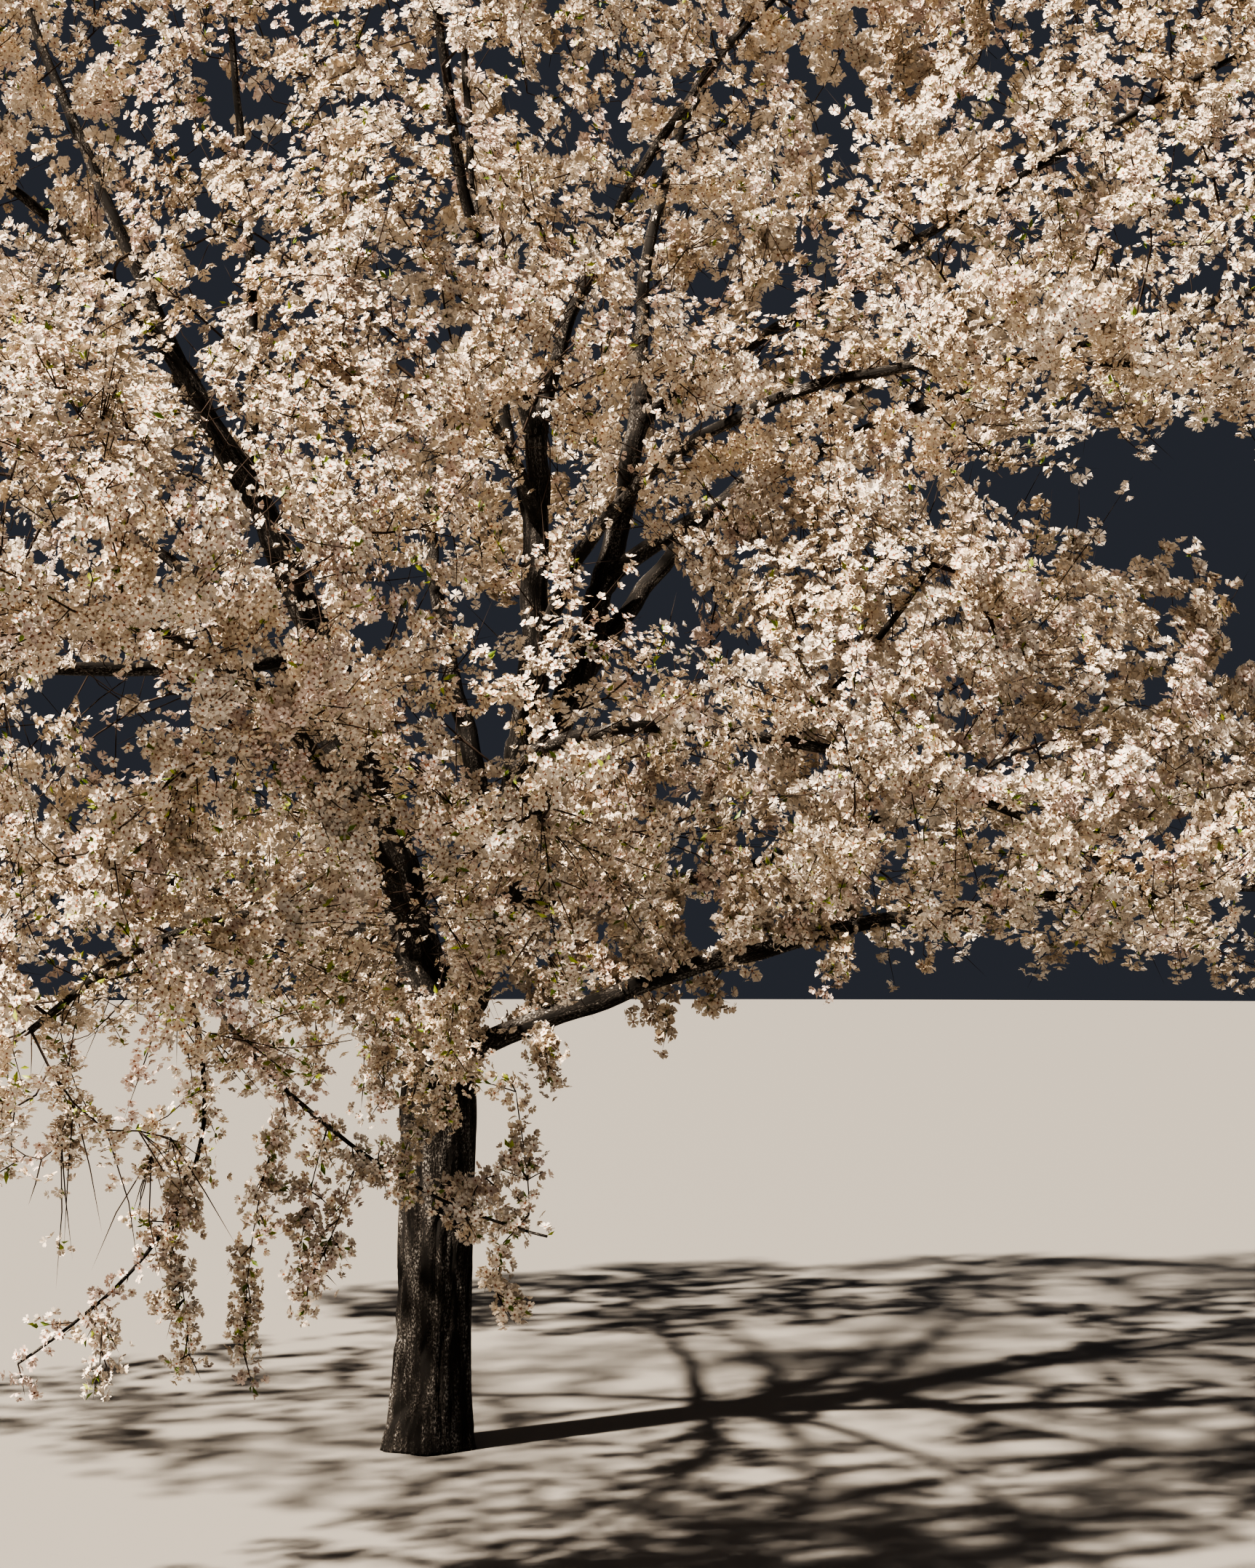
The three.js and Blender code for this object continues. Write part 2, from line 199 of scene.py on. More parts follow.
# Flowering shoots: higher up they lift more, between the two shares
SHOOTS = 4600
SHOOT_LENGTHS = (0.12, 0.37)
SHOOT_HOLD = 0.6
SHOOT_WANDER = 0.34
SHOOT_BEND = 0.7
SHOOT_BEND_WANDER = 0.15
SHOOT_RADIUS = 0.0018
SHOOT_MIDDLE = 0.8
BOX_MARGIN = 0.02
LIFT = 0.42
LIFT_HEIGHT = 1.6
LIFT_RANGE = 1.2
LIFT_SHARES = (-0.6, 1)
HANGING_SHOOTS = 900
HANGING_SHOOT_LENGTHS = (0.03, 0.1)
HANGING_STEP = 0.04

# Twigs that hang below the crown and in front of the trunk, by the limb they leave: the share of its
# length where each does, its bearing and rise there, the same two at its tip, and its length
HANGING_TWIGS = {
    "bough_front": (
        (0.38, 225, -40, 240, -86, 0.5),
        (0.5, 230, -50, 260, -88, 0.75),
        (0.65, 210, -55, 240, -86, 0.6),
        (0.8, 250, -50, 200, -80, 0.5),
    ),
    "bough_front_left_low": (
        (0.12, 275, -30, 300, -85, 0.36),
        (0.2, 300, -10, 330, -75, 0.42),
        (0.2, 250, -20, 280, -70, 0.4),
        (0.28, 300, -20, 280, -80, 0.42),
        (0.28, 330, -15, 350, -75, 0.5),
        (0.35, 330, -45, 300, -85, 0.46),
        (0.45, 300, -50, 280, -84, 0.42),
        (0.58, 330, -60, 300, -84, 0.36),
    ),
    "spray_front": (
        (0.7, 120, 50, 60, 20, 0.18),
        (0.85, 110, 40, 60, 10, 0.16),
        (0.4, 235, -58, 255, -88, 0.6),
        (0.5, 215, -70, 235, -80, 0.3),
        (0.58, 190, -78, 215, -58, 0.32),
        (0.75, 80, 20, 20, -30, 0.2),
        (0.92, 200, -70, 250, -85, 0.15),
        (0.96, 80, 60, 150, 82, 0.32),
    ),
    "spray_left": (
        (0.5, 250, -45, 230, -80, 0.22),
        (0.64, 350, -66, 300, -84, 0.28),
        (0.82, 300, -60, 260, -80, 0.14),
    ),
}

# Rows of twigs that fill the room round the low right bough: the limb they leave, the shares of its
# length where the first and the last do, their number, their rise at both ends and their length.
# They turn by up to ROW_TURN, and their lengths differ between the two shares
LOW_RIGHT_TWIGS = (
    ("bough_low_right", 0.05, 0.5, 15, 35, 65, 0.38),
    ("bough_low_right", 0.12, 0.55, 5, -30, -70, 0.2),
    ("bough_front_right", 0.26, 0.6, 8, -50, -82, 0.42),
    ("bough_low_back_right", 0.12, 0.6, 8, -40, -70, 0.3),
)
ROW_TURN = 60
ROW_LENGTHS = (0.7, 1.1)

# Stretches of limb that show through the blossom in the photograph: the limb, and the shares of
# its length between which it shows
SHOWN_LIMBS = (
    ("bough_left_high", 0.28, 0.7),
    ("stem_left", 0.11, 0.25),
    ("stem_left", 0.62, 1),
    ("bough_left_inner", 0.6, 0.82),
    ("bough_centre", 0.4, 0.72),
    ("bough_centre_right", 0.07, 0.26),
    ("bough_centre_right", 0.44, 0.8),
    ("bough_right_back", 0.12, 0.5),
    ("stem_centre", 0.72, 1),
    ("stem_right", 0.57, 0.98),
    ("bough_right_front", 0.47, 0.7),
    ("bough_front_right", 0.28, 0.46),
)
SHOWN_STEPS = 40
SHOWN_MARGIN = 7
SHOWN_SHARE = 0.9

# Clusters of flowers. A spray is one shoot, or this many branch points, and the numbers of the
# shoots' sprays start after those of all others
FLOWERS = 130000
CLUSTER_STEP = 0.024
CLUSTER_FLOWERS = (3, 6)
SPRAY_POINTS = 12
SHOOT_SPRAYS = 100000
RICH_SPRAYS = 0.62
POOR_SPRAY = 0.15
LEAST_WEIGHT = 0.02
HANGING_NEED = 3
HANGING_KEPT = 0.8

# Flowers: stalks spread across the twig and lean along it, outwards and up. Flowers grow from
# BACK_START on to BACK_DEPTH further back, and where the crown needs less than INNER_NEED
STALK_LENGTHS = (0.016, 0.036)
STALK_ACROSS = 0.6
STALK_ALONG = 0.25
STALK_OUT = 0.35
STALK_LIFT = 0.1
FACING_STALK = 0.6
FACING_WANDER = 0.38
FLOWER_RADIUS = 0.0138
FLOWER_SIZES = (0.88, 1.1)
BACK_FLOWER_RADIUS = 0.0245
BACK_START = -0.6
BACK_DEPTH = 2
INNER_FLOWER_RADIUS = 0.0245
INNER_NEED = 0.5
FRONT_DEPTH = 0.6
CENTRE_SHARE = 0.33
CENTRE_RISE = 0.12
CENTRE_NEED = 1.5

# Petals: how unevenly they turn, how far they cup, how they differ in size and how they spoon
PETALS = 5
PETAL_TURN = 0.07
PETAL_CUPS = (0.05, 0.75)
PETAL_UNEVEN_CUP = 0.16
PETAL_SIZES = (0.9, 1.08)
PETAL_SPOON = 0.3
PETAL_ROUGHNESS = 0.6

# Petal outlines, along and across, as shares of the flower's radius, as a fan from the first point
PETAL_NEAR = ((0.06, 0), (0.5, -0.3), (0.93, -0.24), (0.86, 0), (0.93, 0.24), (0.5, 0.3))
PETAL_MIDDLE = ((0.06, 0), (0.64, -0.35), (1, 0), (0.64, 0.35))
PETAL_FAR = ((0.04, 0), (0.95, -0.47), (0.95, 0.47))
PETAL_OUTLINES = (PETAL_NEAR, PETAL_MIDDLE, PETAL_FAR)

# Flowers with the middle outline, before MIDDLE_DEPTH or below MIDDLE_HEIGHT, and the nearest ones
MIDDLE_DEPTH = -1.9
MIDDLE_HEIGHT = 1.4
MIDDLE_NEED = 2
NEAR_DEPTH = -1.5
NEAR_HEIGHT = 1.15

# Petals' colours, and the share of the sprays that has each
PETAL_TINTS = {
    "petal_warm": ((0.69, 0.61, 0.515), 0.4),
    "petal_white": ((0.71, 0.65, 0.575), 0.3),
    "petal_cream": ((0.67, 0.575, 0.455), 0.2),
    "petal_blush": ((0.68, 0.575, 0.515), 0.1),
}

# Bark, from between its speckles to the palest one
BARK_TONES = (
    (0.05, (0.013, 0.011, 0.0095)),
    (0.35, (0.07, 0.061, 0.054)),
    (0.8, (0.36, 0.345, 0.325)),
)

# Young leaves: the share of the clusters that have them below and above a height, the most in one
# tuft, and each leaf's shape
LOW_LEAVES = 0.34
HIGH_LEAVES = 0.13
LOW_LEAF_HEIGHT = 1.9
MOST_LEAVES = 3
LEAF_LENGTHS = (0.015, 0.032)
LEAF_WIDTH = 0.2
LEAF_FOLD = 0.12
LEAF_STALK = 0.004
LEAF_LIFT = 0.4
LEAF_WANDER = 0.7

# Masses of fine twigs, masses with more blossom than the rest, and masses of hanging twigs alone
FINE_MASSES = ("mass_right_cluster",)
RICH_MASSES = ("mass_left_front_upper", "mass_left_front")
RICH_SHARE = 1.4
HANGING_MASSES = ("mass_hanging_left", "mass_hanging_front")

# Pieces: a name and the masses each stands for
GROUPS = {
    "front_left": ("mass_left_front", "mass_left_front_upper"),
    "front_left_low": (
        "mass_left_front_lower", "mass_left_inner_lower", "mass_hanging_left", "mass_hanging_front",
    ),
    "front": ("mass_front", "mass_front_upper"),
    "left": ("mass_left", "mass_left_lower", "mass_left_upper", "mass_upper_left"),
    "top": (
        "mass_top_left", "mass_top_left_inner", "mass_top_centre", "mass_upper_centre",
        "mass_top_right", "mass_top_back",
    ),
    "right": ("mass_right_upper", "mass_right", "mass_right_lower", "mass_right_back_lower"),
    "right_front": (
        "mass_right_front", "mass_right_front_inner", "mass_right_cluster", "mass_right_front_lower",
    ),
    "back": ("mass_back_right", "mass_back", "mass_back_left", "mass_back_lower"),
}

# Where a flower outside all masses goes with each group, by its place
BACK_FROM = 0.9
RIGHT_FROM = 0.7
RIGHT_FRONT_TO = -0.8
LEFT_TO = -1.6
TOP_FROM = 4.4
FRONT_LEFT_LOW_TO = 1.8
FRONT_LEFT_TOP = 2.2
FRONT_LEFT_SIDE = 0.3

# Smooth noise is drawn in tables of this many rows, and finer noise in longer ones
NOISE_ROWS = 64
FINE_NOISE_ROWS = 256

PATH_SHARES = np.linspace(0, 1, PATH_STEPS + 1)
UP = np.array([0, 0, 1.0])
ASKEW = np.array([0.31, 0.94, 0.12])


def unit(vectors):
    return vectors / np.maximum(np.linalg.norm(vectors, axis=-1, keepdims=True), 1e-9)


def mix(a, b, share):
    return a + (b - a) * share


# The chosen rows of a table
def select(table, chosen):
    return {key: values[chosen] for key, values in table.items()}


# A joined mesh of triangles
def triangle_piece(name, corners, faces, materials, material_of_face=None):
    mesh = bpy.data.meshes.new(name)
    mesh.vertices.add(len(corners))
    mesh.vertices.foreach_set("co", corners.astype(np.float32).ravel())
    mesh.loops.add(3 * len(faces))
    mesh.loops.foreach_set("vertex_index", faces.astype(np.int32).ravel())
    mesh.polygons.add(len(faces))
    mesh.polygons.foreach_set("loop_start", np.arange(0, 3 * len(faces), 3, dtype=np.int32))
    for material in materials:
        mesh.materials.append(material)
    if material_of_face is not None:
        mesh.polygons.foreach_set("material_index", material_of_face.astype(np.int32))
    mesh.update(calc_edges=True)
    piece = bpy.data.objects.new(name, mesh)
    bpy.context.scene.collection.objects.link(piece)
    print(name, len(faces), "triangles")
    return piece


def finish_piece(piece, nodes):
    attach(piece, "root")
    if nodes:
        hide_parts(*nodes)


# Limbs
def heading(bearing, rise):
    turn, tilt = math.radians(bearing), math.radians(rise)
    level = math.cos(tilt)
    return np.array([level * math.cos(turn), level * math.sin(turn), math.sin(tilt)])


def along(path, share):
    place = min(max(share, 0), 1) * (len(path) - 1)
    i = min(int(place), len(path) - 2)
    return mix(path[i], path[i + 1], place - i)


def trunk_path():
    lean = TRUNK_LEAN * np.sin(PATH_SHARES * math.pi / 2)
    return np.stack([lean, 0 * PATH_SHARES, PATH_SHARES * TRUNK_HEIGHT], axis=1)


def bough_path(start, bearing, rise, tip_bearing, tip_rise, length, steps=PATH_STEPS):
    path = [start]
    for i in range(steps):
        share = (i + 0.5) / steps
        step = heading(mix(bearing, tip_bearing, share), mix(rise, tip_rise, share))
        path.append(path[i] + step * length / steps)
    return np.array(path)


# Every limb: its centre line, the radius at each point of it, its length and the limb it leaves
def make_limbs():
    trunk_radii = trunk_radius(PATH_SHARES * TRUNK_HEIGHT, 0, 0)
    limbs = {"trunk": {"path": trunk_path(), "radii": trunk_radii, "length": TRUNK_HEIGHT, "from": None}}
    for name, (parent, share, *course, base, tip) in BOUGHS.items():
        path = bough_path(along(limbs[parent]["path"], share), *course)
        radii = mix(base, tip, PATH_SHARES**TAPER_POWER)
        limbs[name] = {"path": path, "radii": radii, "length": course[-1], "from": parent}
    return limbs


def radius_at(limb, shares):
    return np.interp(shares, PATH_SHARES, limb["radii"])


# The trunk's radius at a height and a bearing: ridges run into the roots, and it narrows at the fork
def trunk_radius(height, bearing, ridges=ROOT_RIDGE_SHARE):
    share = height / TRUNK_HEIGHT
    swell = (TRUNK_FORK_RADIUS - TRUNK_WAIST_RADIUS) * share**2
    flare = np.exp(-height / ROOT_FLARE_HEIGHT)
    ridge = 1 + ridges * flare * np.cos(ROOT_RIDGES * bearing + 1)
    shoulder = np.clip((height - TRUNK_HEIGHT) / SHOULDER_HEIGHT + 1, 0, 1)
    narrowing = 1 - SHOULDER_SHARE * shoulder**2
    return (TRUNK_WAIST_RADIUS + swell + ROOT_FLARE * flare) * ridge * narrowing


# How far points lie outside a limb, and the way straight out of it
def outside_limb(points, limb):
    starts = limb["path"][:-1]
    steps = limb["path"][1:] - starts
    offsets = points[:, None] - starts[None]
    shares = np.clip((offsets * steps).sum(2) / (steps**2).sum(1), 0, 1)
    outs = offsets - shares[..., None] * steps
    radii = mix(limb["radii"][:-1], limb["radii"][1:], shares)
    distances = np.linalg.norm(outs, axis=2)
    nearest = (distances - radii).argmin(1)
    rows = np.arange(len(points))
    distance = distances[rows, nearest]
    return distance - radii[rows, nearest], outs[rows, nearest] / np.maximum(distance, 1e-6)[:, None]


# Points of a limb's surface near a limb that joins it, moved out on to a smooth collar
def blend_joint(points, own, other):
    place = points.copy()
    for _ in range(JOINT_ROUNDS):
        own_gap, own_out = outside_limb(place, own)
        other_gap, other_out = outside_limb(place, other)
        blend = min(JOINT_BLEND, own["radii"][0], other["radii"].max())
        closeness = np.clip(1 - np.abs(own_gap - other_gap) / blend, 0, 1)
        gap = np.minimum(own_gap, other_gap) - closeness**2 * blend / 4
        weight = np.clip(0.5 + (other_gap - own_gap) / (2 * blend), 0, 1)[:, None]
        way = unit(weight * own_out + (1 - weight) * other_out)
        moves = (closeness > 0) & (other_gap > -JOINT_INSIDE)
        place = np.where(moves[:, None], place - gap[:, None] * way, place)
    return place


# Smooth noise from a table of random numbers, which repeats along its first side
def table_noise(table, across, along_way):
    column = np.floor(across).astype(int)
    row = np.floor(along_way).astype(int)
    u = across - column
    v = along_way - row
    u = u * u * (3 - 2 * u)
    v = v * v * (3 - 2 * v)
    wide, tall = table.shape
    near = mix(table[column % wide, row % tall], table[(column + 1) % wide, row % tall], u)
    far = mix(table[column % wide, (row + 1) % tall], table[(column + 1) % wide, (row + 1) % tall], u)
    return mix(near, far, v)


# The height of the bark, as a share of the limb's radius, at a turn from 0 to 1 and a distance
def bark_height(turn, distance, radius, rng):
    girth = 2 * math.pi * radius
    plates = max(4, round(girth / PLATE_WIDTH))
    grains = max(8, round(girth / GRAIN_WIDTH))
    bends = rng.random((BENDS, NOISE_ROWS))
    swells = rng.random((SWELLS, NOISE_ROWS))
    furrows = rng.random((plates, NOISE_ROWS))
    grain = rng.random((grains, FINE_NOISE_ROWS))
    bend = BEND * (table_noise(bends, turn * BENDS, distance / BEND_LENGTH) - 0.5)
    swell = table_noise(swells, turn * SWELLS, distance / SWELL_LENGTH) - 0.5
    plate = table_noise(furrows, turn * plates + bend, distance / PLATE_LENGTH)
    furrow = -np.clip(1 - np.abs(plate - 0.5) / FURROW_SHARE, 0, 1)
    fine = table_noise(grain, turn * grains + 2 * bend, distance / GRAIN_LENGTH) - 0.5
    return SWELL_DEPTH * swell + FURROW_DEPTH * furrow + GRAIN_DEPTH * fine


# A limb's surface as rings of points, with each point's turn and distance along the limb
def limb_rings(name, limb, rng):
    sides, step = STEM_RINGS if name.startswith("stem") else BOUGH_RINGS
    if name == "trunk":
        sides, step = TRUNK_RINGS
    rings = round(limb["length"] / step) + 1
    shares = np.linspace(0, 1, rings)
    turns = np.arange(sides) / sides
    centres = np.array([along(limb["path"], share) for share in shares])
    radii = radius_at(limb, shares)
    if name != "trunk":
        centres = waver(centres, radii, shares * limb["length"], rng)
    side = np.array([1.0, 0, 0]) if name == "trunk" else ASKEW
    forwards = unit(np.gradient(centres, axis=0))
    points = np.zeros((rings, sides, 3))
    for i, forward in enumerate(forwards):
        if name == "trunk":
            forward = UP
        side = unit(side - side.dot(forward) * forward)
        across = np.cross(forward, side)
        angle = 2 * math.pi * turns[:, None]
        points[i] = centres[i] + radii[i] * (np.cos(angle) * side + np.sin(angle) * across)
    turn_grid, share_grid = np.meshgrid(turns, shares)
    distance = share_grid * limb["length"]
    return points, centres, turn_grid, distance


# A limb wavers a little, more where it is thin
def waver(centres, radii, distance, rng):
    phases = rng.random((3, 2)) * 2 * math.pi
    for axis in range(3):
        turn = 2 * math.pi * distance / WAVER_LENGTH
        sway = np.sin(turn + phases[axis, 0]) + FINE_WAVER * np.sin(FINE_TURNS * turn + phases[axis, 1])
        reach = WAVER * np.minimum(radii, WAVER_MOST_RADIUS)
        centres[:, axis] += reach * sway * np.clip(distance / WAVER_FOOT, 0, 1)
    return centres


# The whole surface of trunk and boughs, with the bark's relief
def make_bark(limbs):
    rng = np.random.default_rng(11)
    corners, faces, sheet = [], [], []
    start = 0
    for name, limb in limbs.items():
        points, centres, turn, distance = limb_rings(name, limb, rng)
        rings, sides = turn.shape
        out = points - centres[:, None]
        radius = np.linalg.norm(out, axis=2)
        if name == "trunk":
            bearing = 2 * math.pi * turn
            target = trunk_radius(distance, bearing)
            points = centres[:, None] + out * (target / radius)[..., None]
        flat = points.reshape(-1, 3)
        for other_name, other in limbs.items():
            if other["from"] == name or limb["from"] == other_name:
                flat = blend_joint(flat, limb, other)
        typical = float(limb["radii"][len(limb["radii"]) // 4])
        relief = bark_height(turn, distance, typical, rng) * np.minimum(radius, RELIEF_MOST_RADIUS)
        flat = flat + (unit(out) * relief[..., None]).reshape(-1, 3)
        if name == "trunk":
            flat[:, 2] = np.maximum(flat[:, 2], 0)
        cap = rings * sides
        tip = centres[-1] + (TRUNK_CROWN * UP if name == "trunk" else 0)
        corners.append(np.vstack([flat, centres[:1], tip[None]]))
        faces.append(start + ring_faces(rings, sides))
        faces.append(start + cap_faces(rings, sides, cap))
        sheet.append(np.stack([turn * 2 * math.pi * typical, distance], axis=2).reshape(-1, 2))
        sheet.append(np.array([[0, 0], [0, limb["length"]]]))
        start += len(corners[-1])
    piece = triangle_piece("trunk_and_boughs", np.vstack(corners), np.vstack(faces), [bark_material()])
    place = piece.data.attributes.new("bark_place", "FLOAT2", "POINT")
    place.data.foreach_set("vector", np.vstack(sheet).astype(np.float32).ravel())
    piece.data.polygons.foreach_set("use_smooth", np.ones(len(piece.data.polygons), bool))
    finish_piece(piece, list(limbs))


def ring_faces(rings, sides):
    ring, side = np.meshgrid(np.arange(rings - 1), np.arange(sides), indexing="ij")
    a = ring * sides + side
    b = ring * sides + (side + 1) % sides
    first = np.stack([a, b, b + sides], axis=2)
    second = np.stack([a, b + sides, a + sides], axis=2)
    return np.vstack([first.reshape(-1, 3), second.reshape(-1, 3)])


def cap_faces(rings, sides, cap):
    side = np.arange(sides)
    after = (side + 1) % sides
    last = (rings - 1) * sides
    under = np.stack([after, side, np.full(sides, cap)], axis=1)
    over = np.stack([last + side, last + after, np.full(sides, cap + 1)], axis=1)
    return np.vstack([under, over])


# The crown, cell by cell: the mass that fills it, whether it lies inside or just outside the
# crown, the way out of the crown, whether its twigs are fine, and its need of blossom
def survey_crown():
    low = np.array(cad_box[0]) - CELL_MARGIN * CELL
    size = np.ceil((np.array(cad_box[1]) - low) / CELL).astype(int) + CELL_MARGIN
    owner = np.full(size, -1)
    names = [name for group in GROUPS.values() for name in group]
    for index, name in enumerate(names):
        fill_cells(owner, low, index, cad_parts[name].data)
    inside = fill_hidden_gaps(close_seams(owner >= 0, 1), low)
    hanging = in_masses(owner, names, HANGING_MASSES)
    rich = in_masses(owner, names, RICH_MASSES)
    depth = np.zeros(size)
    layer = inside
    while layer.any():
        depth += CELL * layer
        layer = shrink(layer)
    smooth = blur(blur(blur(depth)))
    out = unit(-np.stack(np.gradient(smooth), axis=3))
    need = blossom_need(inside & ~hanging, low) * np.where(rich, RICH_SHARE, 1)
    return {
        "low": low, "owner": owner, "inside": inside, "reach": spread(inside), "out": out,
        "fine": in_masses(owner, names, FINE_MASSES), "need": need,
    }


def in_masses(owner, names, chosen):
    return np.isin(owner, [names.index(name) for name in chosen])


# How much of the blossom each cell takes, as a share of an even crown's
def blossom_need(inside, low):
    all_round = openness(inside) * inside
    in_view = view_need(inside, low)
    need = (1 - VIEW_SHARE) * all_round / all_round.sum() + VIEW_SHARE * in_view / in_view.sum()
    return np.minimum(need * inside.sum(), MOST_NEED)


# How well a cell is seen from all sides
def openness(inside):
    ways = [way for way in np.ndindex(3, 3, 3) if way != (1, 1, 1)]
    seen = sum(np.exp(-crown_ahead(inside, np.array(way) - 1) / SEEN_DEPTH) for way in ways)
    return seen / len(ways)


# Every square of the photograph's view takes as much blossom as the next, or less where the crown
# is thin in it, and most of it near the viewer
def view_need(inside, low):
    cells = np.argwhere(inside)
    shown, square, away, thickness = view_squares(cells, low)
    order = np.lexsort((away, square))
    order = order[shown[order]]
    cells, square, thickness = cells[order], square[order], thickness[order]
    _, group = np.unique(square, return_inverse=True)
    passed = np.cumsum(thickness)
    firsts = np.flatnonzero(np.diff(group, prepend=-1))
    passed -= (passed[firsts] - thickness[firsts])[group] + thickness
    weight = thickness * np.exp(-passed / SEEN_DEPTH)
    total = np.bincount(group, weight)[group]
    fullness = np.minimum(1, np.bincount(group, thickness)[group] / THIN_CROWN)
    need = np.zeros(inside.shape)
    need[tuple(cells.T)] = weight / total * fullness
    return need


# Whether cells show in the photograph, the square of its view each lies in, how far away they are
# and how much depth of crown each adds to its square
def view_squares(cells, low):
    across, down, away = in_photo(low + (cells + 0.5) * CELL)
    shown = (across > -VIEW_SQUARE) & (across < PHOTO_SIZE[0] + VIEW_SQUARE)
    shown &= (down > -VIEW_SQUARE) & (down < PHOTO_SIZE[1] + VIEW_SQUARE)
    square = np.floor(across / VIEW_SQUARE) + SQUARES_ACROSS * np.floor(down / VIEW_SQUARE)
    thickness = CELL**3 / (VIEW_SQUARE / photo_scale() * away) ** 2
    return shown, square, away, thickness


# Pixels of the photograph for one metre at a distance of one metre
def photo_scale():
    return CAMERA_LENS / FILM_WIDTH * max(PHOTO_SIZE)


# Where points fall in the photograph, in its pixels, and how far away they are
def in_photo(points):
    offset = points - np.array(CAMERA_PLACE)
    pitch = math.radians(CAMERA_PITCH)
    away = offset[:, 1] * math.cos(pitch) + offset[:, 2] * math.sin(pitch)
    rise = offset[:, 2] * math.cos(pitch) - offset[:, 1] * math.sin(pitch)
    across = PHOTO_SIZE[0] / 2 + photo_scale() * offset[:, 0] / away
    down = PHOTO_SIZE[1] / 2 - photo_scale() * rise / away
    return across, down, away


# How much of the crown lies between each cell and the open air, looking one way
def crown_ahead(inside, way):
    axis = int(np.flatnonzero(way)[0])
    cells = np.moveaxis(inside, axis, 0).astype(float)
    sideways = [int(way[i]) for i in range(3) if i != axis]
    step = CELL * np.linalg.norm(way)
    ahead = np.zeros_like(cells)
    forward = int(way[axis])
    order = range(len(cells) - 2, -1, -1) if forward > 0 else range(1, len(cells))
    for i in order:
        beyond = ahead[i + forward] + step * cells[i + forward]
        ahead[i] = slide(slide(beyond, 0, -sideways[0]), 1, -sideways[1])
    return np.moveaxis(ahead, 0, axis)


# A sheet of values moved one cell along an axis, with nothing moved in
def slide(values, axis, by):
    if by == 0:
        return values
    moved = np.roll(values, by, axis)
    edge = [slice(None)] * values.ndim
    edge[axis] = 0 if by > 0 else -1
    moved[tuple(edge)] = 0
    return moved


def fill_cells(owner, low, index, mesh):
    points = [vertex.co.copy() for vertex in mesh.vertices]
    tree = BVHTree.FromPolygons(points, [tuple(face.vertices) for face in mesh.polygons])
    corners = np.array(points)
    first = np.floor((corners.min(0) - low) / CELL).astype(int)
    last = np.ceil((corners.max(0) - low) / CELL).astype(int)
    for step in np.ndindex(*(last - first + 1)):
        cell = first + step
        place = low + (cell + 0.5) * CELL
        nearest, normal, _, _ = tree.find_nearest(place)
        if (np.array(nearest) - place).dot(normal) > 0:
            owner[tuple(cell)] = index


def shifted(cells):
    for axis in range(3):
        for way in (-1, 1):
            yield np.roll(cells, way, axis)


def shrink(cells):
    return np.logical_and.reduce([cells, *shifted(cells)])


def spread(cells):
    return np.logical_or.reduce([cells, *shifted(cells)])


def close_seams(cells, reach):
    closed = cells
    for _ in range(reach):
        closed = spread(closed)
    for _ in range(reach):
        closed = shrink(closed)
    return closed | cells


# A gap is hidden where it lies out of the photograph's view, or in line with enough of the crown
def fill_hidden_gaps(inside, low):
    gaps = np.argwhere(close_seams(inside, GAP_CELLS) & ~inside)
    gaps = gaps[low[2] + (gaps[:, 2] + 0.5) * CELL > GAP_HEIGHT]
    shown, square, _, _ = view_squares(gaps, low)
    _, crown_square, _, thickness = view_squares(np.argwhere(inside), low)
    names, group = np.unique(crown_square, return_inverse=True)
    fullness = dict(zip(names, np.bincount(group, thickness)))
    thin = np.array([fullness.get(name, 0) < GAP_COVER for name in square])
    filled = inside.copy()
    filled[tuple(gaps[~(shown & thin)].T)] = True
    return filled


def blur(values):
    return (values + sum(shifted(values))) / 7


def cell_of(crown, points):
    places = np.floor((points - crown["low"]) / CELL).astype(int)
    limits = np.array(crown["owner"].shape) - 1
    places = np.clip(places, 0, limits)
    return tuple(places.T)


# Whether points lie inside the solids' box, with a margin
def in_box(points, margin):
    low, high = np.array(cad_box)
    return ((points > low + margin) & (points < high - margin)).all(1)


# Open room for the branching rule: points inside the masses, about this far apart
def open_room(crown, spacing, fine, rng):
    size = np.array(crown["owner"].shape) * CELL
    counts = np.floor(size / spacing).astype(int)
    grid = np.stack(np.meshgrid(*[np.arange(n) for n in counts], indexing="ij"), axis=3).reshape(-1, 3)
    jitter = rng.uniform(-ROOM_JITTER, ROOM_JITTER, grid.shape)
    points = crown["low"] + (grid + 0.5 + jitter) * spacing
    cell = cell_of(crown, points)
    inside = crown["inside"][cell] & (crown["fine"][cell] == fine)
    kept = rng.random(len(points)) < crown["need"][cell] / FULL_TWIGS
    return points[inside & kept]


